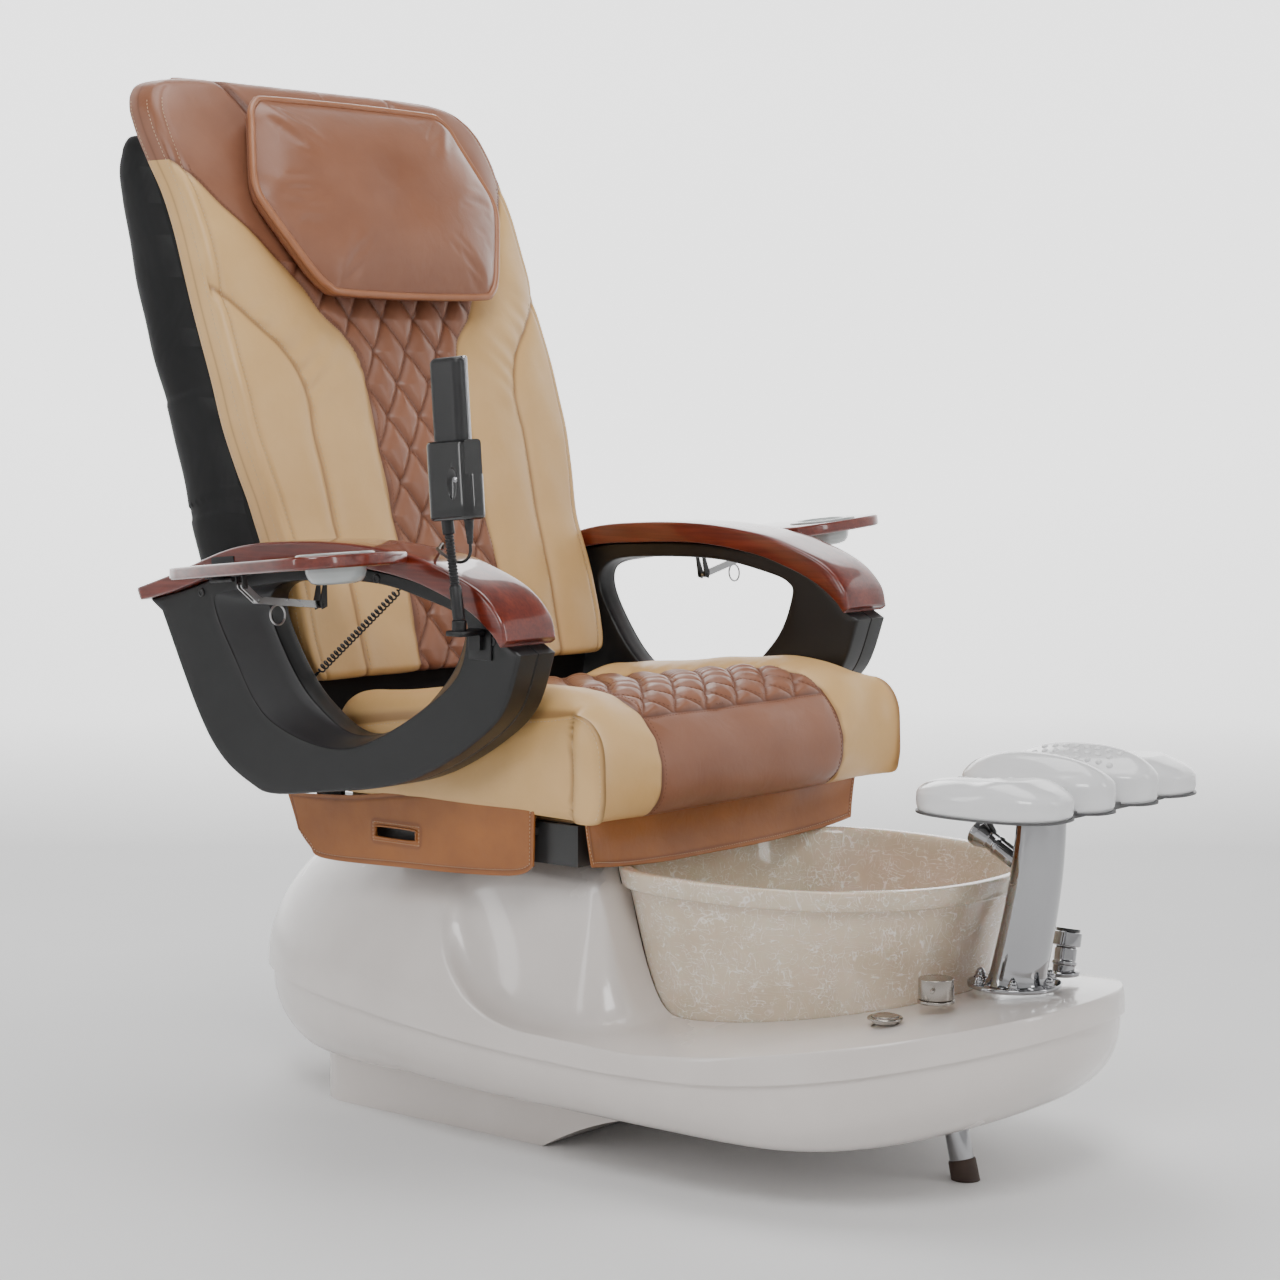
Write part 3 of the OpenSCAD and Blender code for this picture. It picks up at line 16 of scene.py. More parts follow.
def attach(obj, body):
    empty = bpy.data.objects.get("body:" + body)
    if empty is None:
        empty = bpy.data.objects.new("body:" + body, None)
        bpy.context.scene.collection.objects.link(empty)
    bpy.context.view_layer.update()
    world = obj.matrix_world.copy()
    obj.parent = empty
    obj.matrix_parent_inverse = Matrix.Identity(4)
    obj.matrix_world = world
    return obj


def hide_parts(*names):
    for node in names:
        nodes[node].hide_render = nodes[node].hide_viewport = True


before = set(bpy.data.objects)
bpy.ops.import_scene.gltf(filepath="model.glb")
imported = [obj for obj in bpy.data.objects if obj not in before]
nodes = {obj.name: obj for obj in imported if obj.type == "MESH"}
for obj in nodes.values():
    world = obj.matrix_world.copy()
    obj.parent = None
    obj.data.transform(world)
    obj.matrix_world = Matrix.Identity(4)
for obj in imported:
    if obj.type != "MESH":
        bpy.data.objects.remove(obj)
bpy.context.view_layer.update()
print(len(nodes), "parts loaded")

# %% [markdown]
# ## Camera
# The chair is seen from its front right, a little above the seat, through a long lens.

# %% Camera
deg, spread = math.radians, np.linspace


def shown(name, data):
    """A new object with this data, linked into the scene."""
    o = bpy.data.objects.new(name, data)
    bpy.context.scene.collection.objects.link(o)
    return o


eye = Vector((-2.960, -2.435, 0.980))
heading, dip = deg(50.38), deg(4.96)
look = Vector((math.sin(heading) * math.cos(dip), math.cos(heading) * math.cos(dip), -math.sin(dip)))
lens = bpy.data.cameras.new("studio_camera")
lens.lens, lens.sensor_width, lens.clip_end = 80.63, 36, 60
camera = shown("studio_camera", lens)
camera.location = eye
camera.rotation_euler = look.to_track_quat("-Z", "Y").to_euler()
bpy.context.scene.camera = camera

# %% [markdown]
# ## Small helpers
# A finish is a Principled shader with a few pattern nodes in front of it. `pattern` adds a node and
# sets its inputs by name, `finish_of` starts a material, `ramp` turns a grey pattern into two or more colours.

# %% Helpers for finishes
def finish_of(name, **inputs):
    m = bpy.data.materials.new(name)
    m.use_nodes = True
    t = m.node_tree
    shader = t.nodes["Principled BSDF"]
    for k, v in inputs.items():
        shader.inputs[k.replace("_", " ")].default_value = v if not isinstance(v, tuple) else (*v, 1)
    return m, t, shader


def pattern(t, kind, **inputs):
    n = t.nodes.new("ShaderNode" + kind)
    for k, v in inputs.items():
        if hasattr(n, k):
            setattr(n, k, v)
        else:
            n.inputs[k.replace("_", " ")].default_value = v
    return n


def laid(t, kind, where, **inputs):
    """The grey output of a pattern that reads the given places."""
    n = pattern(t, kind, **inputs)
    t.links.new(where, n.inputs["Vector"])
    return n.outputs["Distance" if kind == "TexVoronoi" else "Fac"]


def places(t, scale=(1, 1, 1), turn=(0, 0, 0)):
    where = t.nodes.new("ShaderNodeTexCoord")
    move = t.nodes.new("ShaderNodeMapping")
    move.inputs["Scale"].default_value = scale
    move.inputs["Rotation"].default_value = turn
    t.links.new(where.outputs["Object"], move.inputs["Vector"])
    return move.outputs["Vector"]


def ramp(t, source, *stops):
    n = t.nodes.new("ShaderNodeValToRGB")
    while len(n.color_ramp.elements) < len(stops):
        n.color_ramp.elements.new(0.5)
    for e, (at, colour) in zip(n.color_ramp.elements, stops):
        e.position = at
        e.color = (*colour, 1) if isinstance(colour, tuple) else (colour, colour, colour, 1)
    t.links.new(source, n.inputs["Fac"])
    return n.outputs["Color"]


def ramped(t, shader, socket, source, *stops):
    """Drives an input of the shader with a ramp over a grey pattern."""
    t.links.new(ramp(t, source, *stops), shader.inputs[socket])


def mixed(t, factor, a, b, how="MIX"):
    n = pattern(t, "Mix", data_type="RGBA", blend_type=how)
    for socket, value in ((n.inputs[0], factor), (n.inputs[6], a), (n.inputs[7], b)):
        if isinstance(value, bpy.types.NodeSocket):
            t.links.new(value, socket)
        else:
            socket.default_value = value if isinstance(value, (int, float)) else (*value, 1)
    return n.outputs[2]


def bumped(t, shader, height, strength, distance, under=None):
    n = pattern(t, "Bump", Strength=strength, Distance=distance)
    t.links.new(height, n.inputs["Height"])
    if under:
        t.links.new(under, n.inputs["Normal"])
    t.links.new(n.outputs["Normal"], shader.inputs["Normal"])
    return n.outputs["Normal"]

# %% [markdown]
# ## Helpers for shapes
# Most large shapes here start as a flat grid. Each point of the grid knows how far it is across and
# along, from 0 to 1, and a rule for the piece moves it into place. `smooth_table` reads a few measured
# heights and widths and joins them with an even curve, so that gloss runs over the piece without kinks.

# %% Helpers for shapes
def smooth_table(*pairs):
    xs, ys = (np.array(c, float) for c in zip(*pairs))
    h, d = np.diff(xs), np.diff(ys) / np.diff(xs)
    m = np.concatenate([[d[0]], (d[:-1] * h[1:] + d[1:] * h[:-1]) / (h[1:] + h[:-1]), [d[-1]]])

    def at(x):
        x = np.clip(np.asarray(x, float), xs[0], xs[-1])
        i = np.clip(np.searchsorted(xs, x, side="right") - 1, 0, len(h) - 1)
        t = (x - xs[i]) / h[i]
        return ((2 * t**3 - 3 * t**2 + 1) * ys[i] + (t**3 - 2 * t**2 + t) * h[i] * m[i]
                + (3 * t**2 - 2 * t**3) * ys[i + 1] + (t**3 - t**2) * h[i] * m[i + 1])
    return at


def smooth_line(points, steps, closed=False):
    p = [np.array(q, float) for q in points]
    n = len(p)
    out = []
    for i in range(n if closed else n - 1):
        a, b, c, d = (p[j % n] if closed else p[min(max(j, 0), n - 1)] for j in range(i - 1, i + 3))
        for k in range(steps):
            t = k / steps
            out.append(0.5 * (2 * b + (c - a) * t + (2 * a - 5 * b + 4 * c - d) * t * t
                              + (3 * b - a - 3 * c + d) * t**3))
    return np.array(out if closed else out + [p[-1]])


def run_along(line):
    """Distance from the start of a line to each of its points."""
    return np.concatenate([[0], np.cumsum(np.linalg.norm(np.diff(line, axis=0), axis=1))])


def read_off(at, marks, line):
    """The points of a line at the given readings of its marks."""
    return np.stack([np.interp(at, marks, c) for c in line.T], 1)


def evenly(line, count):
    """The same line with evenly spaced points."""
    d = run_along(line)
    return read_off(spread(0, d[-1], count), d, line)


def points(x, y, z):
    """Rows of places from numbers and lists of numbers."""
    return np.stack(np.broadcast_arrays(x, y, z), 1)


def places_of(me):
    co = np.empty(len(me.vertices) * 3)
    me.vertices.foreach_get("co", co)
    return co.reshape(-1, 3)


def flat_grid(across, along):
    bm = bmesh.new()
    bm.loops.layers.uv.new("UVMap")
    bmesh.ops.create_grid(bm, x_segments=across, y_segments=along, size=0.5, calc_uvs=True)
    me = into(bpy.data.meshes.new("grid"), bm)
    u, v, _ = places_of(me).T + 0.5
    return me, u, v


def row_of(table, share):
    """The row of a table for each point's share of the way along it."""
    return np.array(table, float)[np.round(share * (len(table) - 1)).astype(int)]


def wrapped(share, count):
    """The step of a closed ring for each point's share of the way round it."""
    return np.round(share * count).astype(int) % count


def put(me, x, y, z, **marks):
    """Moves the points to places in millimetres and writes their marks."""
    me.vertices.foreach_set("co", (np.stack([x, y, z], 1) / 1000).astype(np.float32).ravel())
    for name, values in marks.items():
        layer = me.attributes.new(name, "FLOAT", "POINT")
        layer.data.foreach_set("value", np.asarray(values, np.float32))
    return me


def opened(me):
    """A bmesh that starts from a mesh."""
    bm = bmesh.new()
    bm.from_mesh(me)
    return bm


def into(me, bm):
    """Writes a bmesh into a mesh and frees it."""
    bm.to_mesh(me)
    bm.free()
    return me


def extruded(bm, face, way):
    """Draws a face out into a closed prism."""
    grown = bmesh.ops.extrude_face_region(bm, geom=[face])["geom"]
    bmesh.ops.translate(bm, verts=[g for g in grown if isinstance(g, bmesh.types.BMVert)], vec=way)


def rounded(bm, edges, r, steps):
    """Rounds some edges with a radius in metres."""
    bmesh.ops.bevel(bm, geom=edges, offset=r, affect="EDGES", segments=steps, profile=0.5, material=-1)


def piece(name, mesh, material, body, replaces=(), weld=True, outward=True, sharp=None):
    """Turns a mesh or a bmesh into a finished piece that rides on its body."""
    bm = mesh if isinstance(mesh, bmesh.types.BMesh) else opened(mesh)
    if weld:
        bmesh.ops.remove_doubles(bm, verts=bm.verts[:], dist=1e-5)
        bmesh.ops.dissolve_degenerate(bm, edges=bm.edges[:], dist=1e-7)
    if outward:
        bmesh.ops.recalc_face_normals(bm, faces=bm.faces[:])
    for f in bm.faces:
        f.smooth = True
    if sharp:
        for e in bm.edges:
            if len(e.link_faces) == 2 and e.calc_face_angle(0) > deg(sharp):
                e.smooth = False
    me = into(bpy.data.meshes.new(name), bm)
    o = shown(name, me)
    for m in material if isinstance(material, (list, tuple)) else [material]:
        me.materials.append(m)
    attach(o, body)
    if replaces:
        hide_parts(*([replaces] if isinstance(replaces, str) else replaces))
    return o


def close_ends(bm):
    rim = [e for e in bm.edges if len(e.link_faces) == 1]
    bmesh.ops.holes_fill(bm, edges=rim, sides=0)


def tube(points, radius, sides=12, ends=True, plane=None):
    """A round tube along a line of points; given the normal of its plane, it is a closed ring."""
    p = [Vector(q) for q in points]
    n = len(p)
    r = radius if hasattr(radius, "__len__") else [radius] * n
    bm = bmesh.new()
    carried, before, first = Vector((0.3, 0.2, 1)), None, None
    for i, q in enumerate(p):
        if plane:
            d = (p[(i + 1) % n] - p[i - 1]).normalized()
            carried = d.cross(plane).normalized()
        else:
            d = (p[min(i + 1, n - 1)] - p[max(i - 1, 0)]).normalized()
            carried = (carried - carried.dot(d) * d).normalized()
        across = d.cross(carried)
        made = bmesh.ops.create_circle(bm, segments=sides, radius=1)["verts"]
        for k, v in enumerate(made):
            a = 2 * math.pi * k / sides
            v.co = q + r[i] * (carried * math.cos(a) + across * math.sin(a))
        rim = [bm.edges.get((made[k], made[(k + 1) % sides])) for k in range(sides)]
        if before:
            bmesh.ops.bridge_loops(bm, edges=before + rim)
        first, before = first or rim, rim
    if plane:
        bmesh.ops.bridge_loops(bm, edges=before + first)
    elif ends:
        close_ends(bm)
    return bm

# %% [markdown]
# ## The remote's cord
# A thin lead leaves the handset, crosses the armrest and hangs in a tight curl beside the seat before it
# enters the arm's moulding. It is one line of points with its own thickness at each point.

# %% Cord of the remote
arm_in = 309
lead_route = [(116, -70, 797), (116, -70, 785), (112, -58, 775), (105, -34, 773), (95, -4, 781), (79, 20, 786),
              (57, 40, 783), (33, 60, 784), (13, 76, 786.5), (2, 84, 785.5), (-3.5, 90, 777), (-4, 94, 764),
              (-3, 103, 752), (-0.5, 118, 745), (0.8, 132, 743.5), (1, 144, 738.3), (1, 152, 732.15), (1, 160, 726)]
tail_route = [(1, 316, 606), (1, 322, 601.4), (1, 328, 596.8), (1.2, 338, 593.5), (1.6, 350, 595),
              (2.7, 361, 599.5), (3.8, 368, 602.3), (5.3, 372.8, 603.4), (7.4, 374, 603.5), (8.7, 374, 603.5),
              (10, 374, 603.5)]
lead_route, tail_route = ([(-arm_in - x, y, z) for x, y, z in route] for route in (lead_route, tail_route))
turns, per_turn, coil_r, coil_d = 24, 16, 4.4, 2.5
a, b = (np.array(q, float) for q in (lead_route[-1], tail_route[0]))
axis = (b - a) / np.linalg.norm(b - a)
side = np.cross(axis, [1, 0, 0])
side /= np.linalg.norm(side)
other = np.cross(axis, side)
coil = []
for i in range(turns * per_turn + 1):
    t, angle = i / (turns * per_turn), 2 * math.pi * i / per_turn
    grow = min(1, i / per_turn, (turns * per_turn - i) / per_turn)
    coil.append(a + axis * coil_d + (b - a - 2 * axis * coil_d) * t
                + coil_r * grow * (side * math.cos(angle) + other * math.sin(angle)))
lead = smooth_line(lead_route, 4)
tail = smooth_line(tail_route, 4)
cord_line = np.concatenate([lead, coil, tail]) / 1000
cord_r = [1.0] * len(lead) + [coil_d / 4] * len(coil) + [1.0] * len(tail)

black_rubber, t, shader = finish_of("cord_rubber", Base_Color=(0.012, 0.012, 0.013), Roughness=0.38)
grime = laid(t, "TexNoise", places(t), Scale=420.0, Detail=4.0)
ramped(t, shader, "Roughness", grime, (0.3, 0.30), (0.8, 0.48))
bumped(t, shader, grime, 0.15, 0.0002)

curve = bpy.data.curves.new("remote_cord", "CURVE")
curve.dimensions, curve.bevel_depth, curve.bevel_resolution, curve.use_fill_caps = "3D", 0.002, 4, True
spline = curve.splines.new("POLY")
spline.points.add(len(cord_line) - 1)
for point, q, r in zip(spline.points, cord_line, cord_r):
    point.co, point.radius = (*q, 1), r
curve.materials.append(black_rubber)
cord = shown("remote_cord", curve)
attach(cord, "arm_right")
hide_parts("remote_lead", "remote_curl")

# %% [markdown]
# ## Leather
# Upholstery leather is a coated hide: a soft gloss, fine pores and shallow creases a few centimetres long.
# One function makes every colour of it. On the two-coloured cushions an attribute called `brown` holds the
# distance from the seam between the colours, so the border is as sharp as a real seam, and `crease` darkens
# the stitched valleys with painted shade.

# %% Leather finishes
def leather(name, tone, shade, second=None, second_shade=None, gloss=0.42):
    m, t, shader = finish_of(name, Roughness=gloss, Coat_Weight=0.12, Coat_Roughness=0.32)
    where = places(t)

    def dyed(tone, shade):
        cloud = laid(t, "TexNoise", where, Scale=9.0, Detail=5.0, Roughness=0.6)
        return ramp(t, cloud, (0.32, shade), (0.68, tone))

    colour = dyed(tone, shade)
    if second:
        mark = pattern(t, "Attribute", attribute_name="brown")
        step = pattern(t, "Math", operation="GREATER_THAN")
        step.inputs[1].default_value = 0
        t.links.new(mark.outputs["Fac"], step.inputs[0])
        colour = mixed(t, step.outputs[0], colour, dyed(second, second_shade))
    # painted shade: the colour is multiplied darker where the crease mark is high, in seams, stitch rows, folds and
    # hems
    valley = pattern(t, "Attribute", attribute_name="crease")
    valley_shade = ramp(t, valley.outputs["Fac"], (0.0, (1, 1, 1)), (1.0, (0.50, 0.42, 0.38)))
    t.links.new(mixed(t, 1.0, colour, valley_shade, "MULTIPLY"), shader.inputs["Base Color"])
    pores = laid(t, "TexVoronoi", where, Scale=620.0, feature="DISTANCE_TO_EDGE")
    folds = laid(t, "TexNoise", where, Scale=26.0, Detail=6.0, Roughness=0.55, Distortion=0.7)
    rub = laid(t, "TexNoise", where, Scale=14.0, Detail=3.0)
    ramped(t, shader, "Roughness", rub, (0.3, gloss - 0.07), (0.75, gloss + 0.1))
    soft = bumped(t, shader, folds, 0.35, 0.0024)
    bumped(t, shader, pores, 0.18, 0.0002, soft)
    return m


cream, cream_shade = (0.72, 0.45, 0.19), (0.66, 0.40, 0.155)
tan, tan_shade = (0.295, 0.122, 0.066), (0.245, 0.098, 0.052)
two_tone = leather("cream_and_brown_leather", cream, cream_shade, tan, tan_shade)
brown_hide = leather("brown_leather", tan, tan_shade, gloss=0.36)
piping_hide = leather("piping_leather", (0.40, 0.17, 0.085), (0.33, 0.13, 0.06), gloss=0.34)
saddle = leather("saddle_leather", (0.36, 0.125, 0.026), (0.26, 0.085, 0.017), gloss=0.40)


def sewing_thread(name, base, dark, light):
    m, t, shader = finish_of(name, Base_Color=base, Roughness=0.6, Sheen_Weight=0.3)
    twist = laid(t, "TexWave", places(t), Scale=900.0, Distortion=1.0)
    ramped(t, shader, "Base Color", twist, (0.2, dark), (0.8, light))
    return m


thread = sewing_thread("cream_thread", (0.62, 0.45, 0.27), (0.50, 0.34, 0.19), (0.70, 0.52, 0.33))
brown_thread = sewing_thread("brown_thread", (0.16, 0.05, 0.022), (0.12, 0.036, 0.016), (0.21, 0.07, 0.032))
print("leather in", len([m for m in bpy.data.materials if "leather" in m.name]), "colours")

# %% [markdown]
# ## Fabric, plastics, wood and metal
# Each hard finish has its own small story. The base is pearl gelcoat under a clear coat. The basin is cast
# resin with fine curled fibres in it. The armrests are cherry wood under thick lacquer, with the grain drawn
# out along their length by an uneven scale. The chrome keeps faint smears, so its reflections aren't perfect.

# %% Hard finishes
def speckled(name, base, gloss, grain, depth, coat=0.0, metal=0.0, tint=None, coat_gloss=0.03):
    m, t, shader = finish_of(name, Base_Color=base, Roughness=gloss, Coat_Weight=coat, Coat_Roughness=coat_gloss,
                             Metallic=metal)
    where = places(t)
    dots = laid(t, "TexNoise", where, Scale=grain, Detail=3.0, Roughness=0.6)
    haze = laid(t, "TexNoise", where, Scale=7.0, Detail=4.0)
    ramped(t, shader, "Roughness", haze, (0.3, max(gloss - 0.04, 0.01)), (0.75, gloss + 0.05))
    if tint:
        ramped(t, shader, "Base Color", haze, (0.3, base), (0.7, tint))
    if depth:
        bumped(t, shader, dots, 0.3, depth)
    return m


pearl = speckled("pearl_gelcoat", (0.69, 0.635, 0.60), 0.24, 900.0, 0.00002, coat=0.6, tint=(0.74, 0.685, 0.65),
                 coat_gloss=0.06)
white_plastic = speckled("white_gloss_plastic", (0.80, 0.80, 0.81), 0.16, 600.0, 0.00001, coat=0.7,
                         tint=(0.83, 0.83, 0.835))
clear_plastic = speckled("pale_cup_plastic", (0.44, 0.47, 0.47), 0.12, 500.0, 0.00001, coat=0.8,
                         tint=(0.50, 0.53, 0.525))
chrome = speckled("polished_chrome", (0.40, 0.40, 0.41), 0.05, 80.0, 0, metal=1.0, tint=(0.35, 0.35, 0.36))
steel = speckled("zinc_plated_steel", (0.52, 0.52, 0.52), 0.3, 1200.0, 0.00004, metal=1.0, tint=(0.44, 0.44, 0.45))
painted = speckled("black_painted_steel", (0.018, 0.018, 0.019), 0.34, 700.0, 0.00006, tint=(0.03, 0.03, 0.03))
brass = speckled("brass_pipe", (0.62, 0.42, 0.16), 0.26, 500.0, 0.00003, metal=1.0, tint=(0.52, 0.33, 0.11))
moulding = speckled("black_moulding", (0.006, 0.006, 0.0065), 0.38, 1500.0, 0.00012, tint=(0.009, 0.009, 0.0095))
# painted sheen: the bevel of the outer half is a lighter grey than the black face, for the sheen it catches
bevel_painted_sheen = speckled("moulding_edge_painted_sheen", (0.030, 0.030, 0.032), 0.42, 1500.0, 0.00008, coat=0.1,
                       tint=(0.034, 0.034, 0.036), coat_gloss=0.3)
gloss_black = speckled("gloss_black_plastic", (0.006, 0.006, 0.0065), 0.13, 600.0, 0.00001, coat=0.7,
                       tint=(0.009, 0.009, 0.009))
dark_plastic = speckled("dark_grey_plastic", (0.07, 0.07, 0.072), 0.36, 900.0, 0.00008, tint=(0.10, 0.10, 0.10))
rubber = speckled("foot_rubber", (0.035, 0.018, 0.012), 0.6, 700.0, 0.0001, tint=(0.05, 0.026, 0.016))
roller_plastic = speckled("roller_plastic", (0.62, 0.44, 0.16), 0.3, 500.0, 0.00003, tint=(0.70, 0.52, 0.22))

resin, t, shader = finish_of("fibre_resin", Roughness=0.16, Coat_Weight=0.7, Coat_Roughness=0.05,
                             Subsurface_Weight=0.25, Subsurface_Scale=0.02)
fibres = None
for turn, stretch in (((0.4, 0.2, 0.1), (26, 120, 40)), ((1.2, 0.9, 2.1), (110, 30, 36)),
                      ((2.4, 2.2, 0.8), (40, 26, 120))):
    wisp = laid(t, "TexNoise", places(t, stretch, turn), Scale=1.0, Detail=1.0, Distortion=1.2)
    thin = ramp(t, wisp, (0.480, 0.0), (0.5, 1.0), (0.520, 0.0))
    gate = laid(t, "TexNoise", places(t, (1, 1, 1), turn), Scale=34.0, Detail=2.0)
    some = ramp(t, gate, (0.40, 0.0), (0.54, 1.0))
    line = mixed(t, 1.0, thin, some, "MULTIPLY")
    fibres = mixed(t, 1.0, fibres, line, "ADD") if fibres else line
milk = laid(t, "TexNoise", places(t), Scale=15.0, Detail=4.0)
body = ramp(t, milk, (0.3, (0.60, 0.49, 0.35)), (0.7, (0.70, 0.60, 0.46)))
t.links.new(mixed(t, fibres, body, (0.92, 0.88, 0.80)), shader.inputs["Base Color"])
bumped(t, shader, fibres, 0.4, 0.0008)

wood, t, shader = finish_of("lacquered_cherry", Roughness=0.28, Coat_Weight=1.0, Coat_Roughness=0.045)
grain = laid(t, "TexNoise", places(t, (46, 5, 46)), Scale=1.0, Detail=8.0, Roughness=0.62, Distortion=0.35)
streak = laid(t, "TexNoise", places(t, (260, 9, 260)), Scale=1.0, Detail=3.0)
stain = ramp(t, grain, (0.25, (0.085, 0.0085, 0.0035)), (0.5, (0.16, 0.018, 0.007)), (0.8, (0.25, 0.036, 0.013)))
lines = ramp(t, streak, (0.35, (0.62, 0.55, 0.5)), (0.6, (1, 1, 1)))
t.links.new(mixed(t, 0.8, stain, lines, "MULTIPLY"), shader.inputs["Base Color"])
bumped(t, shader, streak, 0.08, 0.0002)

black_cloth, t, shader = finish_of("black_coated_fabric", Roughness=0.58, Specular_IOR_Level=0.25)
warp, weft = (laid(t, "TexWave", places(t), Scale=320.0, Distortion=0.4, bands_direction=d) for d in "ZY")
weave = mixed(t, 0.5, warp, weft)
wear = laid(t, "TexNoise", places(t), Scale=8.0, Detail=5.0)
ramped(t, shader, "Base Color", wear, (0.3, (0.005, 0.005, 0.0055)), (0.75, (0.009, 0.009, 0.0095)))
drape = laid(t, "TexNoise", places(t), Scale=7.0, Detail=3.0, Distortion=0.5)
loose = bumped(t, shader, drape, 0.4, 0.012)
bumped(t, shader, weave, 0.25, 0.00025, loose)

plywood, t, shader = finish_of("raw_plywood", Roughness=0.62)
plies = laid(t, "TexWave", places(t), Scale=90.0, Distortion=2.0, Detail=3.0, bands_direction="Z")
ramped(t, shader, "Base Color", plies, (0.3, (0.40, 0.24, 0.12)), (0.7, (0.56, 0.38, 0.21)))
bumped(t, shader, plies, 0.2, 0.0003)
print(len(bpy.data.materials), "finishes so far")

# %% [markdown]
# ## The back cushion
# A tall foam cushion in two colours: a brown quilted strip runs up the middle and widens into a yoke under the
# pillow, with plain cream panels beside it. It is one closed sheet of points wrapped round the foam. Each row
# is a level section, and each point of a row knows where it is across the front, the side or the rear. The
# front stands proud of its edge by a crown, and by a puff that grows with the distance from the nearest seam,
# because foam under sewn leather bulges between seams.

# %% Seams of the back cushion
back_edge_y = smooth_table((592, 329), (610, 334), (650, 345), (700, 358), (750, 375), (800, 393), (845, 406),
                           (890, 420), (945, 438), (1000, 455), (1050, 473), (1100, 491), (1150, 508), (1200, 526),
                           (1250, 546), (1300, 572), (1345, 598), (1380, 618), (1402, 632), (1416, 641))
back_half = smooth_table((592, 288), (610, 296), (640, 301), (700, 302), (790, 303), (830, 308), (870, 316),
                         (920, 323), (980, 325), (1143, 326), (1200, 325), (1250, 327), (1300, 332), (1345, 331),
                         (1372, 325), (1392, 311), (1404, 294), (1411, 275), (1416, 250))
strip_half = smooth_table((592, 97), (693, 95), (800, 94), (904, 96), (980, 96), (1012, 97), (1045, 108), (1061, 120),
                          (1082, 144), (1125, 175), (1162, 209), (1203, 245), (1233, 278), (1277, 313), (1296, 332),
                          (1330, 370), (1420, 470))
seam_half = smooth_table((592, 200), (700, 204), (790, 208), (870, 211), (920, 214), (975, 212), (1010, 222),
                         (1043, 243), (1072, 274), (1095, 297), (1118, 322), (1150, 365), (1420, 700))
back_crown = smooth_table((592, 8), (700, 11), (800, 15), (900, 20), (1000, 24), (1300, 24), (1416, 18))


def seam_gap(x, z, line):
    """Distance from the point to a seam whose half width is a table of z."""
    slope = (line(z + 2) - line(z - 2)) / 4
    return (np.abs(x) - line(z)) / np.sqrt(1 + slope**2)


def valley(gap, width):
    """A dip of depth 1 along the line where the gap is 0."""
    return np.exp(-(gap / width)**2)


def puffed(gap, height, reach):
    return height * (1 - np.exp(-np.abs(gap) / reach))


def diamonds(x, along, wide, tall):
    """Distance to the nearest line of a diamond lattice, and to its nearest crossing."""
    a, b = x / wide + along / tall, x / wide - along / tall
    pitch = 1 / math.sqrt(1 / wide**2 + 1 / tall**2)
    da, db = np.abs(a - np.round(a)), np.abs(b - np.round(b))
    near = np.round(a), np.round(b)
    cx, cy = (near[0] + near[1]) * wide / 2, (near[0] - near[1]) * tall / 2
    return np.minimum(da, db) * pitch, np.hypot(x - cx, along - cy)


yoke_seams = [smooth_table((1130, -96), (1165, -100), (1250, -122), (1378, -165), (1416, -188), (1440, -200)),
              smooth_table((1130, 96), (1165, 98), (1250, 112), (1378, 132), (1416, 146), (1440, 152))]


def back_front(x, z):
    """How far the front stands proud of its edge, how brown it is and how deep in a seam."""
    w = back_half(z)
    u = np.clip(np.abs(x) / w, 0, 1)
    crown = back_crown(z) * np.sqrt(np.maximum(0, 1 - u**5))
    border, panel = seam_gap(x, z, strip_half), seam_gap(x, z, seam_half)
    edge = np.maximum(w - np.abs(x), 0)
    stitch_row = np.abs(edge - 13)
    line, crossing = diamonds(x, z - 1036, 64, 92)
    quilted = (border < 0) & (z < 1160)
    yoke = (border < 0) & (z >= 1160)
    gap = np.minimum(np.abs(border), np.abs(panel))
    puff = puffed(gap, 9, 15)
    ramp_in = 1 - np.exp(-np.maximum(-border, 0) / 5)
    tuft = puffed(line, 11, 8.5) - 3.5 * valley(crossing, 9)
    puff = np.where(quilted, tuft * ramp_in + 0.5, puff)
    fold = sum(deep * valley(x - seam(z), wide) * (z > 1160)
               for seam, deep, wide in zip(yoke_seams, (2.4, 1.0), (7, 5)))
    cross = valley(z - 1160, 4) * (np.abs(x) < 100)
    puff = np.where(yoke, puffed(border, 6, 20) - 4 * fold - 3 * cross, puff)
    ledge = 6 * valley(stitch_row, 2.6) * 0.35 * (z < 1400)
    # short creases that fan out of the seam where it bends
    bend = valley(z - 1025, 75)
    along = z + 0.75 * np.abs(x)
    fan = (np.cos(2 * np.pi * along / 41 + 0.8 * np.sin(along / 23)) * np.exp(-np.abs(panel) / 34)
           * bend * (panel < 0) * (1 - np.exp(-np.abs(panel) / 6)))
    side = np.sign(x)
    wander = (1.3 * np.sin(z / 47 + 1.7 * side) * np.sin(x / 39 + z / 83) + 0.8 * np.sin(z / 21 + x / 17)
              * np.sin(z / 67 - x / 29)) * (~quilted) * (1 - np.exp(-gap / 12))
    proud = crown + puff - 8 - ledge + 2.6 * fan + wander
    # mask of the painted shade: how deep a point lies in a seam, a stitch row or a fold of the yoke
    seams = valley(gap, 3.2) + 0.55 * valley(stitch_row, 1.6) * (z < 1400)
    seams = np.where(quilted, np.maximum(valley(np.abs(border), 3.2), 0.85 * valley(line, 2.4)), seams)
    seams = np.where(yoke, valley(border, 3.2) + 0.8 * np.minimum(fold / 2, 1) + 0.7 * cross, seams)
    return proud, -border, np.clip(seams, 0, 1)


print("back cushion", round(float(back_half(1100) * 2)), "mm wide at shoulder height")

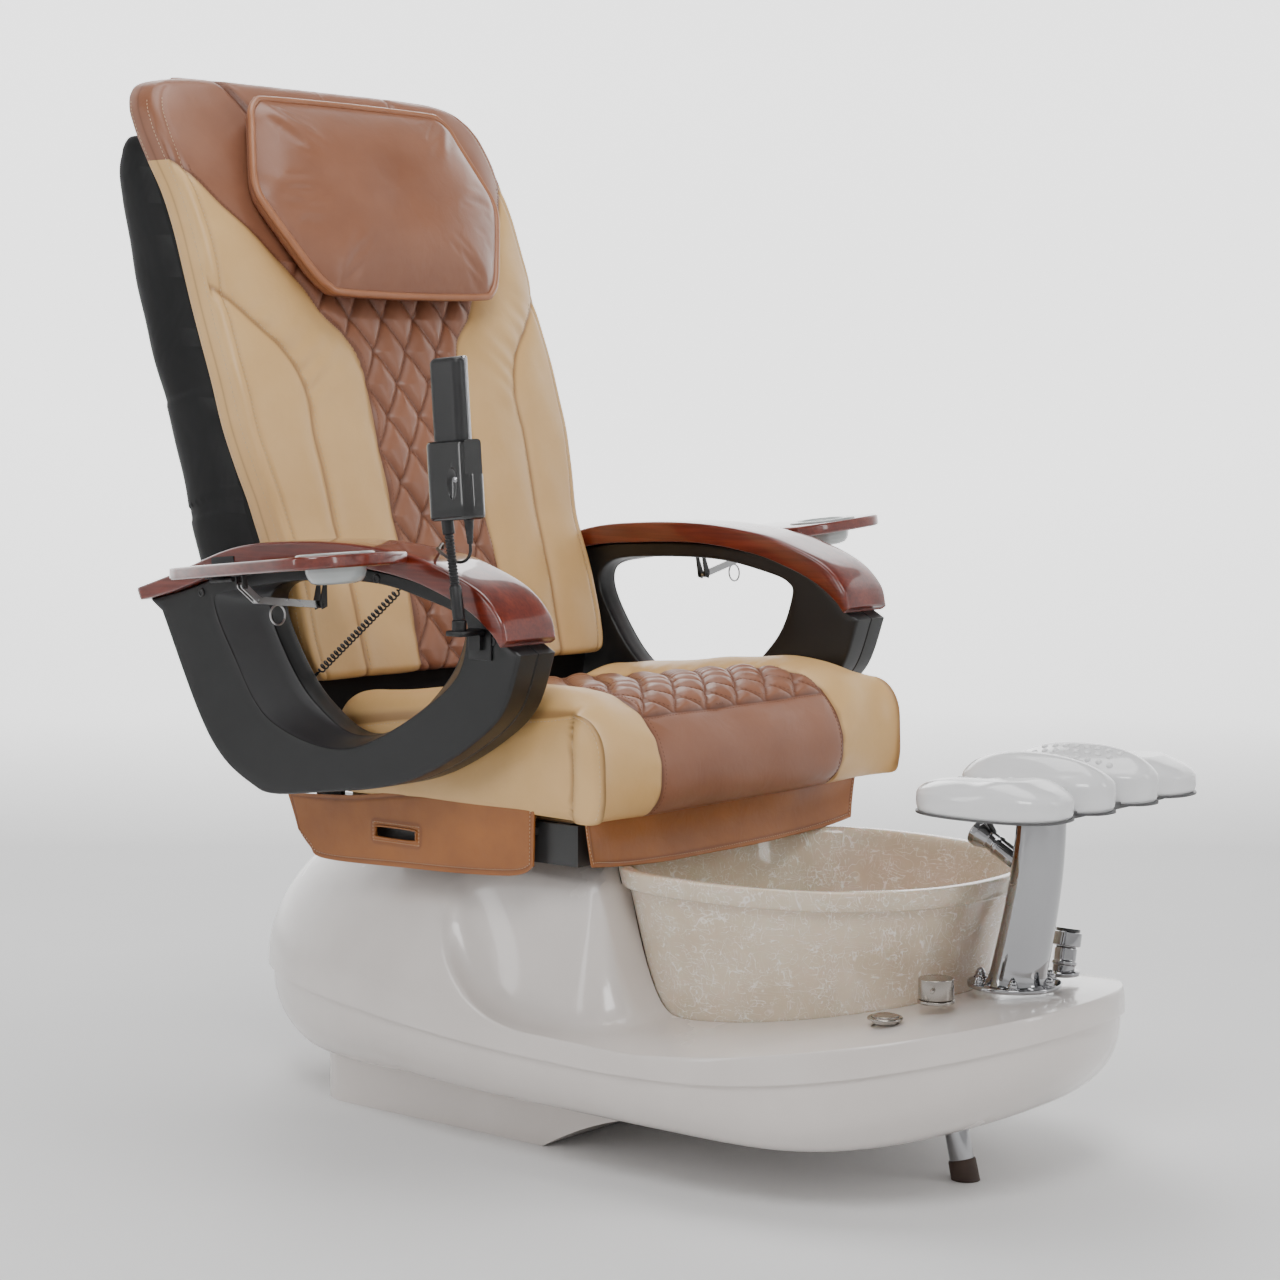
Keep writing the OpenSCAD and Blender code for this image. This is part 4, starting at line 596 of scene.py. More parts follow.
# %% Back cushion
gusset, corner = 50, 13
front_share = spread(-1, 1, 221)
gusset_share = spread(0, 1, 19)[1:-1]
rear_share = spread(1, -1, 21)
kinds = np.array([0] * 221 + [1] * 17 + [2] * 21 + [3] * 17)
shares = np.concatenate([front_share, gusset_share, rear_share, gusset_share[::-1]])
low, high = 592.0, 1416.0
levels = [(low + corner * (1 - math.sin(deg(a))), corner * (1 - math.cos(deg(a))), 0) for a in spread(90, 0, 8)]
levels = [(low, corner, f) for f in spread(1, 0.12, 6)] + levels
levels += [(z, 0, 0) for z in spread(low + corner, high - corner, 330)[1:-1]]
levels += [(high - corner + corner * math.sin(deg(a)), corner * (1 - math.cos(deg(a))), 0) for a in spread(0, 90, 9)]
levels += [(high + 2 * (1 - (1 - f)**2), corner, f) for f in spread(0.12, 1, 7)]
me, u, v = flat_grid(len(kinds), len(levels) - 1)
j = wrapped(u, len(kinds))
row = row_of(levels, v)
z, inset, closing = row[:, 0], row[:, 1], row[:, 2]
z_read = np.clip(z, low + 2, high - 0.5)
kind, share = kinds[j], shares[j]
w = back_half(z_read) - inset
x_front = share * w
proud, brown, crease = back_front(x_front, z_read)
y_edge = back_edge_y(z_read)
y_rear = y_edge + gusset
bulge = 4.0 * np.sin(np.pi * share)
x = np.where(kind == 0, x_front, np.where(kind == 1, w + bulge, np.where(kind == 2, share * (w - 3), -w - bulge)))
y = np.where(kind == 0, y_edge - np.maximum(proud, -6) + inset, np.where(kind == 2, y_rear - inset, 0))
y = np.where((kind == 1) | (kind == 3), y_edge + inset + share * (gusset - 2 * inset), y)
edge_brown = back_front(w * 0.995, z_read)[1]
brown = np.where(kind == 0, brown, edge_brown)
# painted shade along the groove down the middle of the gusset
crease = np.where(kind == 0, crease, 0.6 * valley((share - 0.5) * gusset, 2) * (kind != 2))
y = y * (1 - closing) + (y_edge + gusset / 2) * closing
put(me, x, y, z, brown=brown / 1000, crease=crease)
back = piece("back_cushion_leather", me, two_tone, "back", "back_cushion")
print("back cushion", len(back.data.vertices), "points")

# %% [markdown]
# ## The seat cushion
# The seat is drawn as three closed outlines seen from the side: the sunken brown middle, the crest of the cream
# bolster and the sewn edge of the side panel. A row of the grid follows the outlines round the foam and a column
# slides from one outline to the next, so the bolsters swell beside the quilting and the front corners puff out.

# %% Seat cushion
middle = [(300, 500), (297, 548), (285, 566), (230, 570), (175, 575), (120, 581), (65, 588), (10, 595), (-45, 600),
          (-95, 597), (-130, 586), (-152, 572), (-174, 545), (-185, 512), (-183, 478), (-172, 457), (-150, 445),
          (-115, 449), (0, 452), (150, 452), (285, 452), (299, 466)]
crest = [(298, 505), (293, 560), (280, 580), (230, 586), (170, 592), (110, 598), (55, 604), (5, 608), (-50, 611),
         (-100, 607), (-134, 594), (-155, 578), (-170, 556), (-178, 525), (-176, 488), (-164, 458), (-146, 446),
         (-115, 449), (0, 452), (150, 452), (285, 452), (297, 466)]
sewn = [(290, 500), (288, 528), (279, 538), (230, 546), (168, 555), (105, 561), (50, 565), (0, 568), (-45, 571),
        (-98, 577), (-130, 582), (-152, 583), (-174, 572), (-189, 547), (-192, 508), (-191, 472), (-178, 451),
        (-115, 450), (0, 452), (150, 452), (283, 452), (290, 466)]
steps = 16
loops = [smooth_line(s, steps, closed=True) for s in (middle, crest, sewn)]
run = run_along(np.vstack([loops[0], loops[0][:1]]))
stations = np.arange(len(run))
rows = 320
run_here = spread(0, run[-1], rows, endpoint=False)
here = np.interp(run_here, run, stations)
mid_line, crest_line, sewn_line = (read_off(here, stations, np.vstack([line, line[:1]])) for line in loops)
ahead = np.roll(mid_line, -1, 0) - np.roll(mid_line, 1, 0)
outward = np.stack([ahead[:, 1], -ahead[:, 0]], 1) / np.linalg.norm(ahead, axis=1, keepdims=True)
half_mid = 194.0


def run_near(y, z):
    return run_here[np.argmin(np.hypot(mid_line[:, 0] - y, mid_line[:, 1] - z))]


def seat_side(y):
    t = np.clip((-122 - y) / 26, 0, 1)
    return 300.5 + 15.5 * t**2 * (3 - 2 * t)


seam_run, front_end, top_start = run_near(-150, 574), run_near(-150, 445), run_near(285, 566)
centre_share = spread(-1, 1, 181)
swell_share = np.concatenate([spread(0, 0.6, 26)[1:], 0.6 + 0.4 * np.sin(spread(0, np.pi / 2, 16)[1:])])
cap_share = spread(0, 1, 26)[1:]
zones = np.array([-2] * 25 + [-1] * 40 + [0] * 181 + [1] * 40 + [2] * 25)
across = np.concatenate([cap_share[::-1], swell_share[::-1], centre_share, swell_share, cap_share])
me, u, v = flat_grid(len(zones) - 1, rows)
j = np.round(u * (len(zones) - 1)).astype(int)
i = wrapped(v, rows)
zone, share = zones[j], across[j]
c, b, e, n = mid_line[i], crest_line[i], sewn_line[i], outward[i]
r = run_here[i]
hand = np.sign(zone)
w = seat_side(e[:, 0])
x = np.where(zone == 0, share * half_mid, 0.0)
on_top = np.clip((r - top_start) / 20, 0, 1) * np.clip((front_end - r) / 20, 0, 1)
line, crossing = diamonds(x, seam_run - r, 64, 60)
quilted = (zone == 0) & (r < seam_run) & (r > top_start - 5)
edge_gap = half_mid - np.abs(x)
tuft = (puffed(line, 10, 8) - 3 * valley(crossing, 8)) * (1 - np.exp(-edge_gap / 5))
tuft = tuft * (1 - np.exp(-np.abs(seam_run - r) / 5)) + 1.5
plain = (puffed(np.minimum(edge_gap, np.abs(r - seam_run)), 7, 16)
         + 1.2 * np.sin(x / 31 + r / 57) * np.sin(r / 23 - x / 77))
lift = np.where(quilted, tuft, plain) - 5
rise = np.sin(np.pi / 2 * np.minimum(1, share / 0.6))
fall = 1 - np.sqrt(np.maximum(0, 1 - (np.maximum(share - 0.6, 0) / 0.4)**2))
swell = np.abs(zone) == 1
cap = np.abs(zone) == 2
x = np.where(swell, hand * (half_mid + (w - half_mid) * share), x)
pos = c + n * (lift * on_top)[:, None]
side_pos = c + (b - c) * rise[:, None] + (e - b) * fall[:, None]
gap = (w - half_mid) * share
pucker = (1.5 * np.sin(r / 6.1 + 1.2 * np.sin(r / 31)) * np.exp(-gap / 14)
          + 1.6 * np.sin(x / 21 + r / 43) * np.sin(r / 37 - x / 63))
side_pos = side_pos + n * (on_top * (pucker * (1 - fall) * (1 - np.exp(-gap / 4)) - 4 * np.exp(-gap / 5)))[:, None]
pos = np.where(swell[:, None], side_pos, pos)
hub = np.array([60.0, 510.0])
shrink = hub + (e - hub) * (1 - share)[:, None]
cap_y = shrink[:, 0]
cap_gap = np.minimum(share * 62, 60)
corner_seam = valley(cap_y + 131, 3.0)
cap_puff = (puffed(np.minimum(cap_gap, np.abs(cap_y + 131)), 7.5, 13)
            + 1.0 * np.sin(cap_y / 33) * np.sin(shrink[:, 1] / 14))
x = np.where(cap, hand * (seat_side(cap_y) + cap_puff * np.minimum(1, cap_gap / 8)), x)
pos = np.where(cap[:, None], shrink, pos)
# mask of the painted shade in the seams, the stitch row, the quilting lines and the corner seam of the seat
crease = np.where(zone == 0, np.maximum(valley(edge_gap, 3), valley(r - seam_run, 2.5)), 0)
crease = np.where(quilted, np.maximum(crease, 0.85 * valley(line, 2.2)), crease)
crease = np.where(swell, np.maximum(valley(gap, 3), 0.8 * valley(w - np.abs(x), 2)), crease) * on_top
crease = np.where(cap, np.maximum(0.8 * valley(cap_gap, 2), 0.8 * corner_seam), crease)
brown = np.where(zone == 0, edge_gap + 1, np.where(swell, -gap + 1, -50))
put(me, x, pos[:, 0], pos[:, 1], brown=brown / 1000, crease=crease)
seat = piece("seat_cushion_leather", me, two_tone, "carriage", "seat_cushion")
print("seat cushion", len(seat.data.vertices), "points,", round(float(seam_run - top_start)), "mm of quilting")

# %% [markdown]
# ## The pillow
# A leather bag over foam, hung from its upper edge. It starts as a flat closed shape in the pillow's outline and
# is blown up by a short cloth simulation with its sewn rim held still. Without the simulation it keeps the same
# outline with a simple crown. A piped edge is laid along the rim afterwards.

# %% Pillow
pillow_top, pillow_lean = (567, 1382), deg(25.7)
half = [(160, 1), (183, -4), (198, -19), (206, -42), (232, -112), (238, -140), (232, -168), (196, -243), (180, -272),
        (164, -289), (140, -297)]
pillow_outline = smooth_line(half + [(0, -300)] + [(-x, z) for x, z in half[::-1]] + [(0, 3)], 8, closed=True)


def on_pillow(x, out, down):
    """Turns pillow measures (across, out of its plane, down from its top) into the chair's frame."""
    cy, sz = math.cos(pillow_lean), math.sin(pillow_lean)
    return x, pillow_top[0] + out * cy + down * sz, pillow_top[1] - out * sz + down * cy


round_count = 220
rim = evenly(np.vstack([pillow_outline, pillow_outline[:1]]), round_count + 1)[:-1]
front_share = [1 - (k / 40)**1.1 for k in range(40, -1, -1)]
layers = [(f, -6) for f in front_share]
layers += [(0.995, -5.5 + 2.5 * k) for k in range(1, 6)] + [(0.99, 10), (0.97, 16), (0.94, 20), (0.9, 23)]
layers += [(f, 24.5) for f in spread(0.86, 0, 14)]
me, u, v = flat_grid(round_count, len(layers) - 1)
i = wrapped(u, round_count)
layer = row_of(layers, v)
middle_of = np.array([0.0, -145.0])
flat = middle_of + (rim[i] - middle_of) * layer[:, :1]
in_front = (layer[:, 1] == -6) & (layer[:, 0] < 1)
to_rim = np.array([np.min(np.hypot(*(rim - q).T)) if front else 0 for q, front in zip(flat, in_front)])
swell = 26 * (1 - (1 - np.minimum(to_rim / 80, 1))**3.0) + 4 * np.minimum(to_rim / 150, 1)
x, y, z = on_pillow(flat[:, 0], layer[:, 1] - swell, flat[:, 1])
# painted shade: the sewn rim of the pillow is darkened through the crease mark
put(me, x, y, z, crease=0.7 * (np.abs(layer[:, 1] + 6) < 1.2) * (layer[:, 0] > 0.985))
pillow = piece("pillow_leather", me, brown_hide, "pillow", "pillow")
print("pillow", len(pillow.data.vertices), "points")

# %% Pillow blown up by cloth
def blow_up(o, pressure, cap, weights, frames=18):
    """Cloth with air inside it, held where the weights are 1; no point moves further than the cap."""
    group = o.vertex_groups.new(name="held")
    for i, w in enumerate(weights):
        if w > 0:
            group.add([i], float(w), "REPLACE")
    cloth = o.modifiers.new("cloth", "CLOTH")
    s = cloth.settings
    s.quality, s.mass, s.air_damping = 5, 0.35, 2.0
    s.tension_stiffness = s.compression_stiffness = 18
    s.shear_stiffness, s.bending_stiffness = 8, 2
    s.use_pressure, s.uniform_pressure_force = True, pressure
    s.vertex_group_mass = "held"
    s.effector_weights.gravity = 0
    cloth.collision_settings.use_collision = False
    cloth.collision_settings.use_self_collision = False
    cloth.point_cache.frame_start, cloth.point_cache.frame_end = 1, frames
    scene = bpy.context.scene
    before = places_of(o.data)
    for f in range(1, frames + 1):
        scene.frame_set(f)
    held = o.evaluated_get(bpy.context.evaluated_depsgraph_get())
    move = places_of(held.data) - before
    o.modifiers.remove(cloth)
    scene.frame_set(1)
    size = np.linalg.norm(move, axis=1, keepdims=True)
    move *= np.minimum(1, cap / np.maximum(size, 1e-9))
    o.data.vertices.foreach_set("co", (before + move).astype(np.float32).ravel())
    o.data.update()
    return float(size.max())


co = places_of(pillow.data) * 1000
dy, dz = co[:, 1] - pillow_top[0], co[:, 2] - pillow_top[1]
out = dy * math.cos(pillow_lean) - dz * math.sin(pillow_lean)
moved = blow_up(pillow, 3.0, 0.007, (out > -7.0) * 1.0)
print("pillow moved", round(moved * 1000, 1), "mm before the cap")

# %% Piping round the pillow
rim_points = [tuple(c / 1000 for c in on_pillow(x * 1.004, -7.0, -145 + (z + 145) * 1.006)) for x, z in rim]
ring = tube(rim_points, 0.0052, 10, plane=Vector((0, -math.cos(pillow_lean), math.sin(pillow_lean))))
piece("pillow_piping", ring, piping_hide, "pillow", weld=False)
print("piping", round(sum((Vector(a) - Vector(b)).length for a, b in zip(rim_points, rim_points[1:])), 2), "m")

# %% [markdown]
# ## The base
# The base is two gelcoat mouldings joined at a parting line. Its outline in plan is a blunt front arc and a long
# round tail. The upper shell rises from the parting line as a dome, is cut by a deck round the basin and flares up
# to the flat top under the seat. Each of those is a height over the plan; the lowest one wins, blended softly.

# %% Shape of the base
base_half, front_semi, rear_semi = 330, 362, 645
front_c, rear_c = -320, 660 - rear_semi
tower_h, tower_w, tower_y = 385, 470, -110


def base_outline(arc=70, side=36, tail=80):
    a = np.radians(spread(0, 90, arc, endpoint=False))
    front = np.stack([base_half * np.sin(a)**(2 / 2.12), front_c - front_semi * np.cos(a)**(2 / 2.12)], 1)
    flank = np.stack([np.full(side, base_half), spread(front_c, rear_c, side, endpoint=False)], 1)
    a = np.radians(spread(0, 90, tail + 1))
    rear = np.stack([base_half * np.cos(a), rear_c + rear_semi * np.sin(a)], 1)
    half = np.vstack([front, flank, rear])
    half[-1, 0] = 0
    return np.vstack([half, half[-2:0:-1] * [-1, 1]])


def parting(y):
    return np.where(y < -165, 148 + 0.00025 * (y + 165)**2,
                    148 + 8 * (1 - np.cos(np.minimum(np.pi, (y + 165) / 535 * np.pi))))


def deck_edge(y):
    t = (y + 100) / 204
    flank = 178 + 100 * np.maximum(t, 0)**3 + 250 * np.maximum(0, t - 1)
    return np.where(y < -225, 176 + 74 * (np.maximum(-y - 225, 0) / 477)**1.35,
                    np.where(y < -100, 176 + 2 * (y + 225) / 125, flank))


def softer_min(a, b, k):
    h = np.clip(0.5 + 0.5 * (b - a) / k, 0, 1)
    return b * (1 - h) + a * h - k * h * (1 - h)


def shell_height(x, y, s):
    dome = parting(y) + 304 * np.sqrt(np.maximum(0, 1 - s * s))
    deck = deck_edge(y) + 25 * (1 - s**4)
    dx = np.maximum(np.abs(x) - tower_w / 2, 0) / 80
    dy = np.maximum(tower_y - y, 0) / 100
    flare = np.maximum(0, 1 - np.hypot(dx, dy))**2.2
    lower = softer_min(dome, deck + (tower_h - deck) * flare, 14)
    return np.where(lower > tower_h - 14, softer_min(lower, tower_h, 5), lower)


outline = base_outline()
ring_n = len(outline)


def drawn_in(points, s):
    c = np.clip(points[:, 1], front_c, rear_c)
    return s * points[:, 0], c + s * (points[:, 1] - c)


basin_y, basin_low, rim_h = -250, 110, 383


def basin_ring(z, grow, angle):
    s = 1 - 0.26 * (rim_h - z) / (rim_h - basin_low)
    c, d = np.cos(angle), np.sin(angle)
    e = np.where(d < 0, 2.3, 2.6)
    reach = np.where(d < 0, 295, 175)
    return ((245 * s + grow) * np.sign(c) * np.abs(c)**(2 / e),
            basin_y + (reach * s + grow) * np.sign(d) * np.abs(d)**(2 / e))


def welded(me, near, thin=None):
    """Closes a skin into a body with its faces outward, ready for a cut."""
    bm = opened(me)
    bmesh.ops.remove_doubles(bm, verts=bm.verts[:], dist=near)
    if thin:
        bmesh.ops.dissolve_degenerate(bm, edges=bm.edges[:], dist=thin)
    bmesh.ops.recalc_face_normals(bm, faces=bm.faces[:])
    return into(me, bm)


def around(levels, count=192):
    """A closed skin of the basin: each level is (z, grow, share of the full ring)."""
    me, u, v = flat_grid(count, len(levels) - 1)
    z, grow, share = row_of(levels, v).T
    x, y = basin_ring(z, grow, wrapped(u, count) * 2 * math.pi / count)
    return put(me, x * share, basin_y + (y - basin_y) * share, z)


def cutter(name, levels):
    return shown(name, welded(around(levels), 1e-6))


def basin_room(name, top, steps):
    """A cutter that clears the basin's room up to a height."""
    return cutter(name, [(basin_low, -5, 0), (basin_low, -4.8, 1)] + [(z, 1.2, 1) for z in spread(116, top, steps)]
                  + [(top, 1.2, 0)])


def cut(target, *tools):
    """Cuts closed tools out of a mesh object and keeps the result as its plain mesh."""
    for tool in tools:
        m = target.modifiers.new("cut", "BOOLEAN")
        m.operation, m.object, m.solver = "DIFFERENCE", tool, "EXACT"
    made = bpy.data.meshes.new_from_object(target.evaluated_get(bpy.context.evaluated_depsgraph_get()))
    for o in (target, *tools):
        bpy.data.objects.remove(o)
    return made


# %% Upper shell
level_s = [(f, 0) for f in spread(0, 0.97, 22)] + [(0.985, 0)]
level_s += [(s, 1) for s in np.cos(spread(0.0, np.pi / 2, 150))]
me, u, v = flat_grid(ring_n, len(level_s) - 1)
level = row_of(level_s, v)
x, y = drawn_in(outline[wrapped(u, ring_n)], level[:, 0])
z = np.where(level[:, 1] > 0, shell_height(x, y, level[:, 0]), parting(y) + 0.3)
put(me, x, y, z)
rough = shown("rough_shell", me)
welded(me, 1e-5, 1e-6)
pocket = basin_room("pocket", 420, 24)
lip_room = cutter("lip_room", [(355.7, 10.2, 0)] + [(z, 10.2, 1) for z in spread(355.7, 410, 5)] + [(410, 10.2, 0)])
bm = bmesh.new()
bmesh.ops.create_cone(bm, cap_ends=True, segments=64, radius1=0.0168, radius2=0.0168, depth=0.026,
                      matrix=Matrix.Translation((-0.190, -0.520, 0.240)))
well = into(bpy.data.meshes.new("button_well"), bm)
button_well = shown("button_well", well)
shell = piece("base_shell_gelcoat", cut(rough, pocket, lip_room, button_well), pearl, "base",
              "base_shell", sharp=38)
print("upper shell", len(shell.data.polygons), "faces")

# %% Lower hull and plinth
def hull_floor(y):
    return np.where(y < 200, 70 + 64 * (np.maximum(0, -y - 400) / 290)**2,
                    np.where(y > 450, 45, 70 - 25 * (y - 200) / 250))


turns_v = [(90, f) for f in spread(0, 0.95, 14)] + [(a, 1) for a in spread(90, 0, 44)] + [(-1, f)
        for f in spread(1, 0, 8)]
me, u, v = flat_grid(ring_n, len(turns_v) - 1)
level = row_of(turns_v, v)
a = np.radians(np.maximum(level[:, 0], 0))
s = (0.985 - 0.25 * (1 - np.cos(a))**1.3) * level[:, 1]
x, y = drawn_in(outline[wrapped(u, ring_n)], s)
top = parting(y) - 0.6
z = np.where(level[:, 0] < 0, top, top - (top - hull_floor(y)) * np.sin(a))
put(me, x, y, z)
rough = shown("rough_hull", me)
welded(me, 1e-5, 1e-6)
room = basin_room("hull_room", 240, 10)
piece("base_hull_gelcoat", cut(rough, room), pearl, "base", "base_hull", sharp=38)

bm = bmesh.new()
toe = [(-250 * t, 71 * (1 - (1 - t)**2)) for t in spread(1, 0, 24)]
side_line = [(430, 0), (430, 86), (-250, 86)] + toe[:-1] + [(0, 0)]
face = bm.faces.new([bm.verts.new((-0.218, y / 1000, z / 1000)) for y, z in side_line])
extruded(bm, face, (0.436, 0, 0))
upright = [e for e in bm.edges
           if all(abs(v.co.y - 0.430) < 1e-4 for v in e.verts) and abs(e.verts[0].co.z - e.verts[1].co.z) > 0.05]
rounded(bm, upright, 0.06, 14)
low = [e for e in bm.edges if len(e.link_faces) == 2 and max(v.co.z for v in e.verts) < 0.0705
       and abs(abs(e.verts[0].co.x) - 0.218) < 0.07 and abs(abs(e.verts[1].co.x) - 0.218) < 0.07
       and e.calc_face_angle(0) > 0.9]
bmesh.ops.bevel(bm, geom=low, offset=0.006, affect="EDGES", segments=3, profile=0.5, material=-1, clamp_overlap=True)
plinth = piece("base_plinth_gelcoat", bm, pearl, "base", sharp=40)
print("plinth", [round(d, 3) for d in plinth.dimensions])

# %% [markdown]
# ## The basin
# The bowl is cast in a pale resin with curled fibres in it. Its skin is one ring of points that travels down the
# outside, under the lip, over the rim and down the inside to the middle of its floor.

# %% Basin
lip = [(356, 0), (356.6, 5), (357.5, 8), (359.5, 9), (366, 9), (374, 9), (379, 9), (381.3, 8.4), (382.6, 7), (383, 5),
       (383, 0), (383, -3), (382.5, -5), (381, -6.6), (378, -7.6), (374, -8)]
wall_out = [(basin_low, -6, f) for f in spread(0, 1, 8)] + [(111, -3.2, 1), (113, -1, 1)]
wall_out += [(z, 0, 1) for z in spread(116, 352, 22)] + [(z, g, 1) for z, g in lip]
wall_in = [(z, -8, 1) for z in spread(368, 150, 20)] + [(140, -8.6, 1), (132, -10, 1), (125, -13.5, 1), (120.5, -19, 1),
                                                        (118.3, -27, 1)]
floor_in = [(118, -36, 1)] + [(118, -36, f) for f in spread(0.93, 0, 16)]
me = around(wall_out + wall_in + floor_in)
basin = piece("basin_resin", me, resin, "base", "basin", sharp=60)
print("basin", len(basin.data.vertices), "points")

# %% [markdown]
# ## The footrest and the fittings
# Turned parts are drawn as half a profile and spun about their own axis. Real turned metal never has a razor edge,
# so `softened` cuts a small round at every corner of the profile before it is spun. `placed` leans the axis and
# moves the part to its seat on the deck.

# %% Turned parts
def softened(profile, r, n=3):
    """Rounds the corners of a line of (radius, height) pairs; its ends stay."""
    p = [np.array(q, float) for q in profile]
    out = [p[0]]
    for a, b, c in zip(p, p[1:], p[2:]):
        u, v = a - b, c - b
        reach = min(r, 0.45 * np.linalg.norm(u), 0.45 * np.linalg.norm(v))
        u, v = b + u / np.linalg.norm(u) * reach, b + v / np.linalg.norm(v) * reach
        out += [(1 - t)**2 * u + 2 * t * (1 - t) * b + t * t * v for t in spread(0, 1, n + 1)]
    return out + [p[-1]]


def spun(profile, r=0.6, around=64):
    made = bmesh.new()
    verts = [made.verts.new((q[0] / 1000, 0, q[1] / 1000)) for q in softened(profile, r)]
    edges = [made.edges.new(pair) for pair in zip(verts, verts[1:])]
    bmesh.ops.spin(made, geom=verts + edges, cent=(0, 0, 0), axis=(0, 0, 1), angle=2 * math.pi, steps=around,
                   use_merge=True)
    bmesh.ops.remove_doubles(made, verts=made.verts[:], dist=1e-6)
    return made


def placed(bm, at, lean=0.0, about="X"):
    where = Matrix.Translation(Vector(at) / 1000) @ Matrix.Rotation(deg(lean), 4, about)
    bmesh.ops.transform(bm, matrix=where, verts=bm.verts[:])
    return bm


def together(*parts):
    """Joins several bmeshes into the first one."""
    whole = parts[0]
    for part in parts[1:]:
        me = into(bpy.data.meshes.new("part"), part)
        whole.from_mesh(me)
        bpy.data.meshes.remove(me)
    return whole


# %% Column of the footrest
me, u, v = flat_grid(96, 70)
t = np.clip((v - 1 / 70) / (1 - 2 / 70), 0, 1)
fillet = 1 + 0.10 * np.exp(-t * 45)
x, y = (42 - 6 * t) * np.cos(u * 2 * np.pi), (33 - 6 * t) * np.sin(u * 2 * np.pi)
cy = -583 - 33 * np.sin(np.pi / 2 * t)
closing = np.where((v < 0.5 / 70) | (v > 1 - 0.5 / 70), 0.02, fillet)
put(me, x * closing, cy + y * closing, 260 + 224 * t)
shaft = opened(me)
flange = placed(spun([(0, 254), (58, 254), (58, 260), (0, 260.2)], 1.8), (0, -580, 0))
nuts = []
for i in range(6):
    a = deg(30 + 60 * i)
    at = (49 * math.cos(a), -580 + 49 * math.sin(a), 260)
    dome = [(5.2 * math.cos(deg(b)), 6 + 5.2 * math.sin(deg(b))) for b in range(0, 91, 15)]
    nuts.append(placed(spun([(0, 0), (6.5, 0), (6.5, 5.2), (5.6, 6)] + dome, 0.3, 24), at))
    nuts.append(placed(spun([(0, 0), (8.5, 0), (8.5, 1.2), (0, 1.2)], 0.4, 24), at))
column = piece("footrest_column_chrome", together(shaft, flange, *nuts), chrome, "base", "footrest_column",
               sharp=50)
print("column", len(column.data.polygons), "faces")

# %% [markdown]
# The two outer pads carry the soles and dip towards their inner rear corner; the two inner ones are higher and
# stand like crescents between them. All four are one glossy moulding with rows of small massage nubs.

# %% Footrest pads
def pad_shape(cx, cy, hx, hy, low, high, dip, hand):
    me, u, v = flat_grid(112, 44)
    a = u * 2 * np.pi
    rows = [(0.0, 0.0), (0.5, 0.0), (0.90, 0.0), (0.945, 0.0), (0.965, 0.03), (0.985, 0.10), (0.996, 0.19), (1.0, 0.28)]
    rows += [(1.0, 0.36), (0.997, 0.44)] + [(math.cos(q), 0.44 + 0.56 * math.sin(q))
                                            for q in spread(0.10, np.pi / 2, 35)]
    row = row_of(rows, v)
    px = hx * row[:, 0] * np.sign(np.cos(a)) * np.abs(np.cos(a))**0.8
    py = hy * row[:, 0] * np.sign(np.sin(a)) * np.abs(np.sin(a))**0.8
    up = low + (high - low) * row[:, 1]
    top = np.clip((row[:, 1] - 0.44) / 0.3, 0, 1)
    if dip:
        hollow = np.exp(-((px + hand * 22) / 30)**2 - ((py - 18) / 46)**2)
        ridge = valley(py + 38 - 0.2 * px * hand, 24)
        up = up - top * (11 * hollow - 5.0 * ridge * (1 - hollow)) + top * 1.5
    else:
        crest = np.exp(-((px - hand * 16 * (1 - (py / hy)**2)) / 20)**2)
        up = up - top * 8 * (1 - crest)
    up = np.minimum(up, high)
    return put(me, cx + px, cy + py, up)


def nub_rows(me, spots, r=4.6):
    probe, bm = bmesh.new(), bmesh.new()
    probe.from_mesh(me)
    tree = BVHTree.FromBMesh(probe)
    for x, y in spots:
        hit, normal, *_ = tree.ray_cast(Vector((x / 1000, y / 1000, 0.7)), Vector((0, 0, -1)))
        if hit:
            turn = normal.to_track_quat("Z", "Y").to_matrix().to_4x4()
            size = Matrix.Diagonal((r / 1000, r / 1000, r * 0.62 / 1000, 1))
            at = Matrix.Translation(hit) @ turn @ size
            bmesh.ops.create_uvsphere(bm, u_segments=10, v_segments=6, radius=1, matrix=at)
    probe.free()
    return bm


pads, bed = bmesh.new(), bmesh.new()
for s in (-1, 1):
    sole = pad_shape(s * 144, -640, 60, 97, 488, 533, True, s)
    heel = pad_shape(s * 50, -641, 45, 100, 488, 555, False, s)
    for me in (sole, heel):
        pads.from_mesh(me)
    nubs = nub_rows(sole, [(s * (110 + 13 * i + 6.5 * (j % 2)), -657 + 13 * j) for i in range(3) for j in range(6)])
    more = nub_rows(heel, [(s * (22 + 12 * i), -696 + 15 * j + 7.5 * (i % 2)) for i in range(3) for j in range(8)], 4.2)
    pads = together(pads, nubs, more)
    for cx, hx, hy, cy in ((s * 144, 60.4, 97.4, -640), (s * 50, 45.4, 100.4, -641)):
        rim = [(hx * math.copysign(abs(math.cos(a))**0.8, math.cos(a)),
                hy * math.copysign(abs(math.sin(a))**0.8, math.sin(a)))
               for a in spread(0, 2 * math.pi, 80, endpoint=False)]
        base = bed.faces.new([bed.verts.new(((cx + px) / 1000, (cy + py) / 1000, 0.4895)) for px, py in rim])
        extruded(bed, base, (0, 0, -0.0025))
footpads = piece("footrest_pads_gloss", pads, white_plastic, "base", "footrest_pads")
piece("footrest_underside", bed, dark_plastic, "base", sharp=40)
print("pads", len(footpads.data.polygons), "faces with their nubs")

